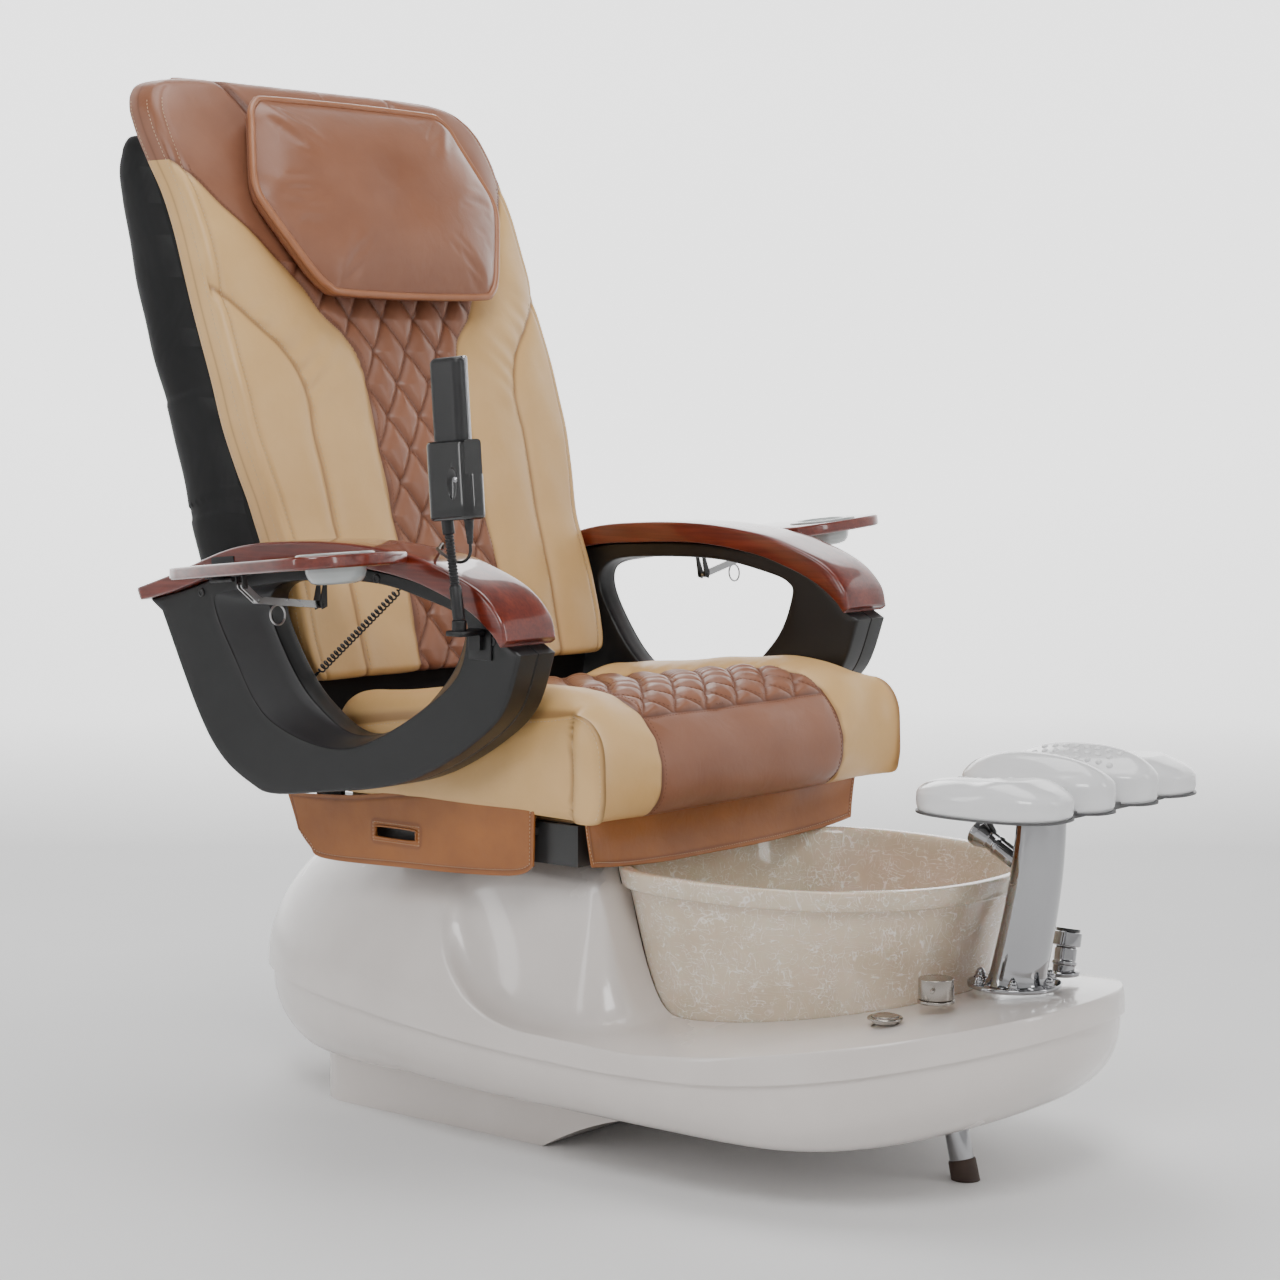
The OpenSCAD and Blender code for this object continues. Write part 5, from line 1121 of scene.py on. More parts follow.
# %% Front foot
foot_at, foot_slant = (0, -512, 0), 13
foot = placed(spun([(0, 20), (15.5, 20), (15.5, 142), (0, 142)], 0.8), foot_at, -foot_slant)
foot = piece("foot_tube_chrome", foot, chrome, "base", "foot_tube", sharp=50)
tip = spun([(0, 1.5), (17.2, 1.5), (18.4, 3.5), (18, 18), (17.4, 44), (16.6, 46), (0, 46)], 1.4)
tip = placed(tip, foot_at, -foot_slant)
down = Vector((0, math.sin(deg(foot_slant)), math.cos(deg(foot_slant)))) * -0.02
bmesh.ops.translate(tip, verts=tip.verts[:], vec=down)
bmesh.ops.bisect_plane(tip, geom=tip.verts[:] + tip.edges[:] + tip.faces[:], plane_co=(0, 0, 0.0004),
                       plane_no=(0, 0, -1), clear_outer=True)
close_ends(tip)
piece("foot_tip_rubber", tip, rubber, "base", "foot_tip", sharp=50)
print("foot", round(foot.dimensions.z, 3), "m of tube")

# %% Taps, knob and button
faucet_at, faucet_lean, mixer_at, button_at = (113, -580, 250), 12, (-127, -550, 250), (-190, -520, 237)
collar = placed(spun([(0, 0), (21, 0), (21, 5), (17.5, 7), (0, 7)], 1.0), faucet_at)
neck = spun([(0, 2), (14, 2), (14, 12), (15.6, 14), (15.6, 17), (14, 19), (14, 33), (12.5, 36), (0, 36)], 0.8)
piece("faucet_body_chrome", together(collar, placed(neck, faucet_at, faucet_lean, "Y")), chrome, "base",
             "faucet_body", sharp=50)
handle = spun([(0, 36.3), (15.5, 36.3), (18, 37.5), (18, 53.5), (16.8, 54.3), (16.2, 54.3)]
              + [(15.5, 55), (15.5, 58.6), (0, 59.3)], 0.5)
handle = piece("faucet_handle_chrome", placed(handle, faucet_at, faucet_lean, "Y"), [chrome, gloss_black],
               "faucet_handle", "faucet_handle", sharp=50)
along = Vector((math.sin(deg(faucet_lean)), 0, math.cos(deg(faucet_lean))))
for f in handle.data.polygons:
    f.material_index = int((f.center - Vector(faucet_at) / 1000).dot(along) > 0.0544)

satin = speckled("satin_nickel", (0.40, 0.365, 0.33), 0.24, 700.0, 0.00002, metal=1.0, tint=(0.34, 0.31, 0.28))
base = spun([(0, 0), (22.5, 0), (22.5, 4), (20.5, 5), (0, 5)], 0.8)
piece("mixer_base_nickel", placed(base, mixer_at), satin, "base", "mixer_base", sharp=50)
knob = placed(spun([(0, 5.3), (21.5, 5.3), (21.5, 30.3), (0, 30.3)], 1.3), mixer_at)
heading_lever = deg(205)
end = Vector((-127 + 34 * math.cos(heading_lever), -550 + 34 * math.sin(heading_lever), 270)) / 1000
start = Vector((-127, -550, 270)) / 1000
pin = tube([start + (end - start) * f for f in (0, 0.4, 0.97, 1.0)], [0.0026, 0.0026, 0.0026, 0.0019], 16)
knob = piece("mixer_knob_nickel", together(knob, pin), satin, "mixer_knob", "mixer_knob", sharp=50)

ring = spun([(16.7, 0), (21.5, 0), (21.5, 1.6), (20, 3), (16.7, 3), (16.7, 0)], 0.5)
piece("button_collar_nickel", placed(ring, button_at), satin, "base", "button_collar", sharp=50)
cap = spun([(0, -4), (16.2, -4), (16.2, 4.2), (12.5, 5.6), (9.5, 5.4), (8.2, 4.9), (0, 4.9)], 0.7)
piece("jet_button_nickel", placed(cap, button_at), satin, "jet_button", "jet_button", sharp=50)
print("fittings in place, knob", round(knob.dimensions.x * 1000), "mm across with its lever")

# %% Spray head
spray_at, spray_lean = (0, -556, 424), -60
body = spun([(0, -30), (12, -30), (12, -2), (12.8, 0), (12.8, 3), (12, 5), (12, 13), (13.5, 15), (18.2, 26), (19, 28),
             (19, 35.5),
             (17.5, 37), (15.5, 36.2), (0, 35.6)], 0.7)
spray = piece("spray_head_chrome", placed(body, spray_at, spray_lean), chrome, "spray_head", "spray_head",
              sharp=50)
# painted shade: the spray holes are black discs on the face, standing for the dark insides of the holes
holes = bmesh.new()
for ring_r, count in ((0, 1), (5.5, 6), (11, 12)):
    for i in range(count):
        a = 2 * math.pi * i / count
        at = Matrix.Translation((ring_r / 1000 * math.cos(a), ring_r / 1000 * math.sin(a), 0.0359))
        bmesh.ops.create_cone(holes, cap_ends=True, segments=8, radius1=0.0011, radius2=0.0011, depth=0.001, matrix=at)
piece("spray_holes", placed(holes, spray_at, spray_lean), gloss_black, "spray_head")
print("spray head", len(spray.data.polygons), "faces")

# %% [markdown]
# ## The armrests
# Each armrest is a hollow D of black plastic in two halves that meet in a fine groove, with a slab of lacquered
# wood bent over it. The D is drawn by rays from its middle: along each ray lie the outer edge and the opening, and a
# section joins them. The wood follows two curves, its upper and its lower side.

# %% Curves of the armrest
arm_under = smooth_line([(560, 698), (495, 713), (378, 747), (271, 757), (157, 759), (61, 747), (3, 731), (-45, 712),
                         (-81, 688), (-98, 670)], 14)
arm_over = smooth_line([(568, 715), (495, 737), (378, 775), (271, 787), (157, 788), (54, 777), (0, 763), (-62, 738),
                        (-98, 706), (-107, 676)], 14)
frame_low = smooth_line([(-116, 660), (-87, 589), (-29, 541), (54, 498), (133, 476), (226, 463), (322, 452), (364, 461),
                         (421, 493), (469, 553), (538, 684)], 14)
frame_edge = np.vstack([arm_under, frame_low])
opening_in = smooth_line([(358, 690), (338, 726), (250, 736), (136, 736), (52, 722), (8, 708), (1, 686), (30, 624),
                          (109, 558), (200, 537), (270, 570), (318, 618)], 14, closed=True)
opening_out = smooth_line([(430, 700), (398, 716), (260, 736), (130, 738), (40, 721), (-16, 704), (-28, 684), (-2, 619),
                           (121, 544), (215, 522), (330, 553), (392, 630)], 14, closed=True)
hub = np.array([150.0, 640.0])
frame_in, frame_mid, frame_out = 319.0, 353.5, 388.0


def reach_at(line, angle):
    """Distance from the hub to a closed line along each ray."""
    d = line - hub
    a, r = np.arctan2(d[:, 1], d[:, 0]) % (2 * np.pi), np.hypot(d[:, 0], d[:, 1])
    order = np.argsort(a)
    return np.interp(angle, a[order], r[order], period=2 * np.pi)


corners = np.array([np.arctan2(*(np.array(q) - hub)[::-1]) % (2 * np.pi)
                    for q in ((560, 698), (538, 684), (-98, 670), (-116, 660))])
rays = np.sort(np.concatenate([spread(0, 2 * np.pi, 330, endpoint=False), corners, corners + 0.006, corners - 0.006]))
far, near_mid, near_out = (reach_at(line, rays) for line in (frame_edge, opening_in, opening_out))
print("rays", len(rays), "widest reach", round(float(far.max())), "mm")

# %% Halves of the armrest frame
def frame_section(way, side_x):
    """(x, where between the edge 1 and the opening 0, offset in mm), from the groove to the opening."""
    x0 = frame_mid + 0.1 * way
    rim = [(x0, 1, -1.4), (x0 + 1.2 * way, 1, -1.3), (x0 + 1.7 * way, 1, -0.2), (x0 + 4 * way, 1, 0),
           (side_x - 6 * way, 1, 0)]
    rim += [(side_x + 5 * way * (math.sin(q) - 1), 1, 5 * math.cos(q) - 5) for q in spread(0.2, np.pi / 2, 5)]
    turn = ((0, 2.6), (-0.3, 1.4), (-1.2, 0.6)) if way > 0 else ((0, 4.5), (0.7, 2.2), (2.2, 0.8), (4.5, 0))
    return rim + [(side_x, share, 0) for share in (0.8, 0.5, 0.2)] + [(side_x + dx, 0, off) for dx, off in turn]


def frame_half(name, outer_half, hand, node):
    way, side_x, opening = (1, frame_out, near_out) if outer_half else (-1, frame_in, near_mid)
    near_x = frame_out - 1.2 if outer_half else frame_in + 4.5
    fade = (0.03, 0.1, 0.25, 0.5, 0.75, 0.93) if outer_half else (0.3, 0.6, 0.93)
    joint = frame_mid + 0.1 * way
    section = [(x, opening + (far - opening) * share + off) for x, share, off in frame_section(way, side_x)]
    bevel_start = len(section) - 1
    section += [(near_x + (frame_mid - near_x) * t, opening + (near_mid - opening) * t) for t in fade]
    section += [(joint + 1.3 * way, near_mid + 0.2), (joint, near_mid + 1.4)]
    count = len(section)
    me, u, v = flat_grid(len(rays), count)
    k, j = wrapped(u, len(rays)), wrapped(v, count)
    xs = np.array([x for x, _ in section])[j]
    rs = np.array([r for _, r in section])[j, k]
    y, z = hub[0] + rs * np.cos(rays[k]), hub[1] + rs * np.sin(rays[k])
    put(me, hand * xs, y, z, bevel=((j >= bevel_start) & (j < count - 1)) * 1.0)
    marks = np.empty(len(me.vertices))
    me.attributes["bevel"].data.foreach_get("value", marks)
    for f in me.polygons:
        f.material_index = int(all(marks[i] > 0.5 for i in f.vertices))
    # the bevel faces of the outer half take the lighter grey of the painted sheen
    return piece(name, me, [moulding, bevel_painted_sheen if outer_half else moulding], f"arm_{hand_name(hand)}",
                 node, sharp=32)


def hand_name(hand):
    return "left" if hand > 0 else "right"


for hand in (-1, 1):
    side_of = hand_name(hand)
    frame_half(f"arm_inner_{side_of}_moulding", False, hand, f"arm_inner_{side_of}")
    frame_half(f"arm_outer_{side_of}_moulding", True, hand, f"arm_outer_{side_of}")

# %% Wooden tops
stations_n = 190
upper, lower = evenly(arm_over, stations_n), evenly(arm_under, stations_n)


def wood_section(width, r_top=4.5, r_low=2.5, crown=1.0):
    """Points of the slab's section: across from 0 to its width, and up from 0 to 1, with offsets in mm."""
    half = []
    for q in spread(np.pi / 2, 0, 7):
        half.append((width - r_top + r_top * math.cos(q), 1, -r_top + r_top * math.sin(q)))
    half += [(width, 0.5, 0)]
    for q in spread(0, -np.pi / 2, 5):
        half.append((width - r_low + r_low * math.cos(q), 0, r_low + r_low * math.sin(q)))
    top = [(c, 1, crown * (1 - (2 * c / width - 1)**4)) for c in spread(r_top + 5, width - r_top - 5, 9)]
    low = [(c, 0, 0) for c in spread(width - r_low - 8, r_low + 8, 5)]
    other = [(width - c, share, off) for c, share, off in reversed(half)]
    return top + half + low + other


section = wood_section(95.0)
ends = [(-1, 0.02), (-1, 0.5), (-0.98, 0.9), (-0.7, 0.965), (-0.3, 0.99)]
rows = [(0, reach, f) for reach, f in ends] + [(i, 0, 1) for i in range(stations_n)] + \
       [(stations_n - 1, -reach, f) for reach, f in reversed(ends)]


def wooden_top(hand):
    me, u, v = flat_grid(len(section), len(rows) - 1)
    s = np.array(section)[wrapped(u, len(section))]
    row = row_of(rows, v)
    i = row[:, 0].astype(int)
    up = upper[i] - lower[i]
    up /= np.linalg.norm(up, axis=1, keepdims=True)
    p = lower[i] + (upper[i] - lower[i]) * s[:, 1:2] + up * s[:, 2:3]
    middle = (upper[i] + lower[i]) / 2
    ahead = np.stack([up[:, 1], -up[:, 0]], 1)
    p = middle + (p - middle) * row[:, 2:3] - ahead * (row[:, 1:2] * -2.2)
    x = 309 + 47.5 + (s[:, 0] - 47.5) * row[:, 2]
    put(me, hand * x, p[:, 0], p[:, 1])
    return piece(f"arm_top_{hand_name(hand)}_wood", me, wood, f"arm_{hand_name(hand)}",
                 f"arm_top_{hand_name(hand)}")


for hand in (-1, 1):
    top = wooden_top(hand)
print("wooden top", [round(d, 3) for d in top.dimensions])

# %% [markdown]
# The trays turn on butt hinges at the wood's outer edge. Everything on them is drawn in the hinge's own frame:
# across from the pin, along the pin, and up. One matrix carries it to the chair.

# %% Trays
def tray_matrix(hand):
    mirror = Matrix.Diagonal((hand, 1, 1, 1))
    seat_at = Matrix.Translation((0.4085, 0.052, 0.7625)) @ Matrix.Rotation(deg(-5.15), 4, "X")
    tilt = Matrix.Rotation(deg(-4.0 if hand > 0 else 0.0), 4, "Y")
    return mirror @ seat_at @ tilt


cup_at = (97.5, 26, 0)
board_plan = np.vstack([smooth_line([(-1.2, 0), (28, -16), (62, -26), (132, -31), (168, -25), (188, -4), (189, 22)],
                                    10),
                        smooth_line([(186, 40), (160, 140), (126, 245), (98, 318)], 8),
                        smooth_line([(90, 340), (66, 364), (-1.2, 396)], 8)])


def carried(bm, hand):
    bmesh.ops.transform(bm, matrix=tray_matrix(hand), verts=bm.verts[:])
    return bm


def as_object(bm, name):
    bmesh.ops.recalc_face_normals(bm, faces=bm.faces[:])
    return shown(name, into(bpy.data.meshes.new(name), bm))


def tray_board(hand):
    bm = bmesh.new()
    face = bm.faces.new([bm.verts.new((x / 1000, y / 1000, 0.0045)) for x, y in board_plan])
    extruded(bm, face, (0, 0, 0.016))
    edge = [e for e in bm.edges
            if abs(e.verts[0].co.z - e.verts[1].co.z) < 1e-6 and any(len(f.verts) > 6 for f in e.link_faces)]
    rounded(bm, edge, 0.0035, 4)
    board = as_object(bm, "board")
    hole = as_object(placed(spun([(0, -10), (39.5, -10), (39.5, 60), (0, 60)], 0.1, 96), cup_at), "hole")
    dish = bmesh.new()
    half = [(0, 15.2), (20, 15.6), (28, 16.8), (31.5, 18.4), (33.5, 20), (34.6, 21), (34.6, 40)]
    for y in (190, 300):
        together(dish, placed(spun(half + [(0, 40)], 0.4, 64), (55, y, 0)))
    dish = as_object(dish, "dish")
    trough = bmesh.new()
    wall = [(-a, b) for a, b in half[:0:-1]] + half
    face = trough.faces.new([trough.verts.new(((55 + a) / 1000, 0.19, b / 1000)) for a, b in wall])
    extruded(trough, face, (0, 0.11, 0))
    trough = as_object(trough, "trough")
    me = cut(board, hole, dish, trough)
    bm = opened(me)
    return piece(f"tray_{hand_name(hand)}_wood", carried(bm, hand), wood, f"tray_{hand_name(hand)}",
                 f"tray_{hand_name(hand)}", sharp=40)


def box_between(lo, hi, soft=0.0):
    bm = bmesh.new()
    lo, hi = Vector(lo) / 1000, Vector(hi) / 1000
    bmesh.ops.create_cube(bm, size=1, matrix=Matrix.Translation((lo + hi) / 2) @ Matrix.Diagonal((*(hi - lo), 1)))
    if soft:
        rounded(bm, bm.edges[:], soft / 1000, 2)
    return bm


def tray_irons(hand):
    parts = []
    for v in (95, 320):
        barrel = spun([(0, 0), (3, 0), (3, 14), (0, 14)], 0.3, 24)
        parts.append(placed(barrel, (0, v + 14.3, 0), -90))
        parts.append(box_between((1.2, v + 14.8, 2.2), (24, v + 27.8, 4.3), 0.3))
    for d in (-1, 1):
        parts.append(box_between((116, 172 + d * 6 - 1, -13), (124, 172 + d * 6 + 1, 4.3), 0.5))
    parts.append(placed(spun([(0, 0), (2, 0), (2, 16), (0, 16)], 0.3, 16), (120, 164, -9), -90))
    parts.append(box_between((112, 162, 3.0), (128, 182, 4.4), 0.3))
    return piece(f"tray_irons_{hand_name(hand)}", carried(together(*parts), hand), painted, f"tray_{hand_name(hand)}",
                 sharp=40)


def cup_holder(hand):
    rim_top = 20.5
    shape = [(0, -15.5), (24, -15.0), (31, -12.5), (35.5, -7), (37.6, 0), (38, 8), (38, rim_top - 1), (49, rim_top),
             (49, rim_top + 1.6), (47.5, rim_top + 3), (40.5, rim_top + 3), (36.2, rim_top + 1), (35.6, rim_top - 4),
             (35.2, 4), (33.5, -4), (29, -9.5), (22, -12.2), (0, -12.8)]
    bm = placed(spun(shape, 1.0, 96), cup_at)
    return piece(f"cup_holder_{hand_name(hand)}_plastic", carried(bm, hand), clear_plastic, f"tray_{hand_name(hand)}",
                 f"cup_holder_{hand_name(hand)}", sharp=50)


for hand in (-1, 1):
    board = tray_board(hand)
    tray_irons(hand)
    cup_holder(hand)
print("tray", [round(d, 3) for d in board.dimensions], len(board.data.polygons), "faces")

# %% Screws of the armrests
def screw(at, r, heading):
    """A socket head: a dished disc with a round recess."""
    head = spun([(0, 0), (r, 0), (r, 1.4), (r * 0.86, 2.2), (r * 0.5, 2.2), (r * 0.45, 1.2), (0, 1.2)], 0.25, 24)
    return placed(head, at, 90 * heading, "Y")


for hand in (-1, 1):
    heads = [screw((hand * 387.6, y, z), r, hand) for y, z, r in ((126, 744, 6), (-71, 676, 6), (-20, 712, 4.5),
            (455, 712, 6))]
    dots = piece(f"arm_screws_{hand_name(hand)}", together(*heads), painted, f"arm_{hand_name(hand)}",
                 sharp=50)
print("screws", len(dots.data.polygons), "faces a side")

# %% [markdown]
# ## Leather skirts and apron
# Two saddle leather flaps hang from the seat box at its sides and a third one goes across the front. They are cut
# sheets: a grid between an upper and a lower edge, given a real thickness, with a soft wave along the free edge. The
# flap in front curls outwards where it tucks round the corner of the cushion.

# %% Side skirts
def between_lines(top, bottom, along, up):
    t, b = evenly(top, 400), evenly(bottom, 400)
    i = along * 399
    lo = np.floor(i).astype(int).clip(0, 398)
    f = (i - lo)[:, None]
    t, b = t[lo] * (1 - f) + t[lo + 1] * f, b[lo] * (1 - f) + b[lo + 1] * f
    return b + (t - b) * up[:, None]


def area_of(me):
    return sum(f.area for f in me.polygons)


def thickened(name, me, thick, material, body, replaces=()):
    """A sheet with a real thickness and a softened cut edge."""
    o = piece(name, me, material, body, replaces, weld=False, outward=False)
    wall = o.modifiers.new("thickness", "SOLIDIFY")
    wall.thickness, wall.offset = thick, -1
    edge = o.modifiers.new("edge", "BEVEL")
    edge.width, edge.segments, edge.limit_method, edge.angle_limit = thick * 0.3, 2, "ANGLE", deg(50)
    return o


def rounded_box(lo, hi, r, steps=6):
    bm = box_between(lo, hi)
    upright = [e for e in bm.edges if abs((e.verts[0].co - e.verts[1].co).x) > 1e-4]
    rounded(bm, upright, r / 1000, steps)
    return bm


hide_thick = 0.0028
skirt_top = smooth_line([(385, 439), (259, 447), (155, 462), (87, 467), (-62, 469)], 20)
skirt_low = smooth_line([(364, 392), (341, 371), (311, 357), (156, 360), (-18, 369), (-59, 385)], 20)
for hand in (-1, 1):
    me, u, v = flat_grid(230, 46)
    p = between_lines(skirt_top, skirt_low, u, v)
    free = 1 - v
    wave = 1.3 * np.sin(p[:, 0] / 37 + 0.6 * hand) * free**2 + 1.1 * free**3
    hem = 0.5 * np.exp(-(np.minimum(np.minimum(u * 440, (1 - u) * 440), np.minimum(v, 1 - v) * 92) - 6)**2 / 3)
    slot_gap = np.hypot(np.maximum(np.abs(p[:, 0] - 180) - 38, 0), np.maximum(np.abs(p[:, 1] - 403.5) - 8.5, 0))
    swell = 1.2 * valley(slot_gap, 7)
    # painted shade: the hem line and a ring round the slot are darkened through the crease mark
    crease = np.clip(hem * 1.6 + 0.7 * valley(slot_gap - 7, 2), 0, 1)
    put(me, hand * (301.3 + wave - hem + swell), p[:, 0], p[:, 1], crease=crease)
    if hand > 0:
        me.flip_normals()
    rough = shown("rough_skirt", me)
    wall = rough.modifiers.new("thickness", "SOLIDIFY")
    wall.thickness, wall.offset = hide_thick, -1
    hole = as_object(rounded_box((hand * 320 - 40, 143, 396), (hand * 320 + 40, 217, 411), 5), "slot_cutter")
    skirt = piece(f"skirt_{hand_name(hand)}_leather", cut(rough, hole), saddle, "carriage",
                  f"skirt_{hand_name(hand)}", sharp=40)
    area = round(area_of(me) - 0.074 * 0.015, 4)
    rim_line = [(143 + 5, 396), (217 - 5, 396), (217, 401), (217, 406), (212, 411), (148, 411), (143, 406), (143, 401)]
    rim_line = smooth_line(rim_line, 6, closed=True)
    lip = [(hand * 0.3030, y / 1000, z / 1000) for y, z in rim_line]
    ring = tube(lip + lip[:2], 0.0016, 8, ends=False)
    edging = piece(f"skirt_slot_edge_{hand_name(hand)}", ring, saddle, "carriage")
print("skirt", [round(d, 3) for d in skirt.dimensions])

# %% Front apron
me, u, v = flat_grid(260, 40)
s = 2 * u - 1
left_curl = np.clip((-0.80 - s) / 0.20, 0, 1)**1.6
right_curl = np.clip((s - 0.86) / 0.14, 0, 1)**1.6
low_x = np.interp(s, [-1, 1], [-282, 272])
high_x = np.interp(s, [-1, -0.8, 0.8, 1], [-296, -238, 238, 292])
x = low_x + (high_x - low_x) * v - 3 * left_curl * v**2
z_low = 379 + 11 * np.abs(s)**3
z_high = 446 + 30 * left_curl + 14 * right_curl
z = z_low + (z_high - z_low) * v
belly = 7 * np.sin(np.pi * v) * (1 - s**4)
y = -136 + belly - 5 * (1 - v)**2 - 1.2 * np.sin(x / 29) * (1 - v)**2 - 6 * left_curl * v
rim = np.minimum(np.minimum(z - z_low, (1 - np.abs(s)) * 280), 40)
hem = 0.5 * np.exp(-(rim - 6)**2 / 3)
# painted shade: the hem line of the apron is darkened through the crease mark
put(me, x, y + hem, z, crease=np.clip(hem * 1.6, 0, 1))
apron = thickened("seat_apron_leather", me, hide_thick, saddle, "carriage", "seat_apron")

# %% [markdown]
# A short flap of the rear cover's fabric hangs from the lower edge of the back and closes the gap behind the seat.

# %% Flap under the back
me, u, v = flat_grid(120, 40)
x = (2 * u - 1) * (283 + 3 * v)
fall_y = 352 + 10 * np.sin(np.pi * v) + 1.6 * np.sin(x / 41) * (1 - v) + 1.2 * np.sin(x / 17 + 2 * v) * (1 - v)**2
put(me, x, fall_y, 500 + 108 * v)
flap = thickened("back_flap_fabric", me, 0.0016, black_cloth, "back")

# %% [markdown]
# ## The cover behind the back
# The rear of the back is closed by a fitted cover of coated black fabric, stretched round a frame. On each side it
# has two pockets, and the upper edge of each pocket is a slanting welt. The cover is one sheet with its own
# thickness, a little loose between its seams.

# %% Rear cover
cover_back = smooth_table((545, 568), (592, 588), (700, 606), (800, 631), (945, 665), (1050, 696), (1150, 725),
                          (1250, 741), (1300, 740), (1335, 722))
cover_half = smooth_table((545, 270), (592, 282), (700, 290), (800, 294), (945, 304), (1050, 309), (1150, 312),
                          (1250, 313.5), (1300, 311), (1335, 302))
cover_rows = [(z, 0.0, 0.0) for z in spread(545, 1309, 210)]
cover_rows += [(1309 + 26 * math.sin(q), 26 * (1 - math.cos(q)), 0.0) for q in spread(0, np.pi / 2, 9)[1:]]
cover_rows += [(1335 + 1.5 * f, 26, f) for f in spread(0, 0.985, 16)[1:]]
arc = np.concatenate([spread(-0.16, -0.01, 12), spread(0, 1, 150), spread(1.01, 1.16, 12)])
me, u, v = flat_grid(len(arc) - 1, len(cover_rows) - 1)
a = arc[np.round(u * (len(arc) - 1)).astype(int)]
row = row_of(cover_rows, v)
z = row[:, 0]
w = cover_half(np.minimum(z, 1309)) - row[:, 1] * 0.5
front = np.where(z < 592, 382, back_edge_y(np.clip(z, 592, 1416)) + gusset) + 0.4
rear = cover_back(np.minimum(z, 1335)) - row[:, 1] * 0.25
angle = np.clip(a, 0, 1) * np.pi
c, d = np.cos(angle), np.sin(angle)
x = w * np.sign(c) * np.abs(c)**0.36
y = front + 20 + (rear - front - 20) * np.maximum(d, 1e-9)**0.36
past = np.where(a < 0, -a / 0.16, np.where(a > 1, (a - 1) / 0.16, 0))
y = np.where(past > 0, front + 20 * (1 - past), y)
y = front + (y - front) * (1 - row[:, 2])


def pocket(y, z, y0, z0, y1, z1):
    """Distance below a slanting pocket edge on the side of the cover."""
    slope = (z1 - z0) / (y1 - y0)
    return (z0 + slope * (y - y0) - z) / math.sqrt(1 + slope**2)


on_side = (np.abs(x) > w * 0.93) & (row[:, 1] < 1)
upper_flap, lower_flap = pocket(y, z, 493, 999, 608, 969), pocket(y, z, 440, 836, 574, 805)
flap = np.where(on_side, 2.2 / (1 + np.exp(-upper_flap)) * (upper_flap < 148) + 2.2 / (1 + np.exp(-lower_flap)), 0)
crease = np.where(on_side, valley(upper_flap, 2) + valley(lower_flap, 2), 0)
mid_seam = valley(x, 2.5) * (np.abs(c) < 0.5)
loose = 1.5 * np.sin(z / 63 + 2 * c) * np.sin(z / 27 + 1.3 * np.sin(y / 90)) + 1.0 * np.sin(y / 31 + z / 90)
loose *= np.clip((z - 560) / 60, 0, 1) * (row[:, 1] < 1)
nx, ny = np.abs(c)**1.5 * np.sign(c), d**1.5
size = np.maximum(np.hypot(nx, ny), 1e-6)
shift = np.where(past > 0, 0, loose - 1.5) + flap - 2 * mid_seam
put(me, x + shift * nx / size, y + shift * ny / size, z, crease=np.clip(crease + mid_seam, 0, 1))
cover = thickened("back_cover_fabric", me, 0.003, black_cloth, "back", "back_cover")

# %% [markdown]
# ## The remote
# The handset stands in a glossy holder on a ribbed gooseneck, clamped to the outside of the armrest. Slabs like
# these have a rounded outline and softened ends: one outline is repeated at several heights, drawn in at the ends.

# %% Remote, holder and gooseneck
def slab(width, depth, r, levels, around=72):
    """A rounded slab: each level is (height, inset)."""
    rows = [(levels[0][0], levels[0][1], f) for f in (0.0, 0.55)] + [(z, i, 1.0) for z, i in levels]
    rows += [(levels[-1][0], levels[-1][1], f) for f in (0.55, 0.0)]
    me, u, v = flat_grid(around, len(rows) - 1)
    row = row_of(rows, v)
    a = u * 2 * np.pi
    hx, hy = width / 2 - row[:, 1], depth / 2 - row[:, 1]
    rr = np.maximum(np.minimum(r - row[:, 1], np.minimum(hx, hy) - 0.2), 0.5)
    q = np.stack([np.cos(a), np.sin(a)], 1)
    corner_x, corner_y = hx - rr, hy - rr
    t = np.minimum(hx / np.maximum(np.abs(q[:, 0]), 1e-6), hy / np.maximum(np.abs(q[:, 1]), 1e-6))
    px, py = q[:, 0] * t, q[:, 1] * t
    ox, oy = px - np.sign(px) * corner_x, py - np.sign(py) * corner_y
    in_corner = (np.abs(px) > corner_x) & (np.abs(py) > corner_y)
    k = rr / np.maximum(np.hypot(ox, oy), 1e-6)
    px = np.where(in_corner, np.sign(px) * corner_x + ox * k, px)
    py = np.where(in_corner, np.sign(py) * corner_y + oy * k, py)
    put(me, px * row[:, 2], py * row[:, 2], row[:, 0])
    bm = opened(me)
    bmesh.ops.remove_doubles(bm, verts=bm.verts[:], dist=1e-6)
    return bm


def ends_soft(low, high, soft, n=5):
    """Levels from low to high whose insets round both ends."""
    arc = [(soft * (1 - math.sin(q)), soft * (1 - math.cos(q))) for q in spread(np.pi / 2, 0, n)]
    return [(low + up, inset) for up, inset in arc] + [(low + (high - low) * f, 0) for f in (0.25, 0.5, 0.75)] + \
           [(high - up, inset) for up, inset in reversed(arc)]


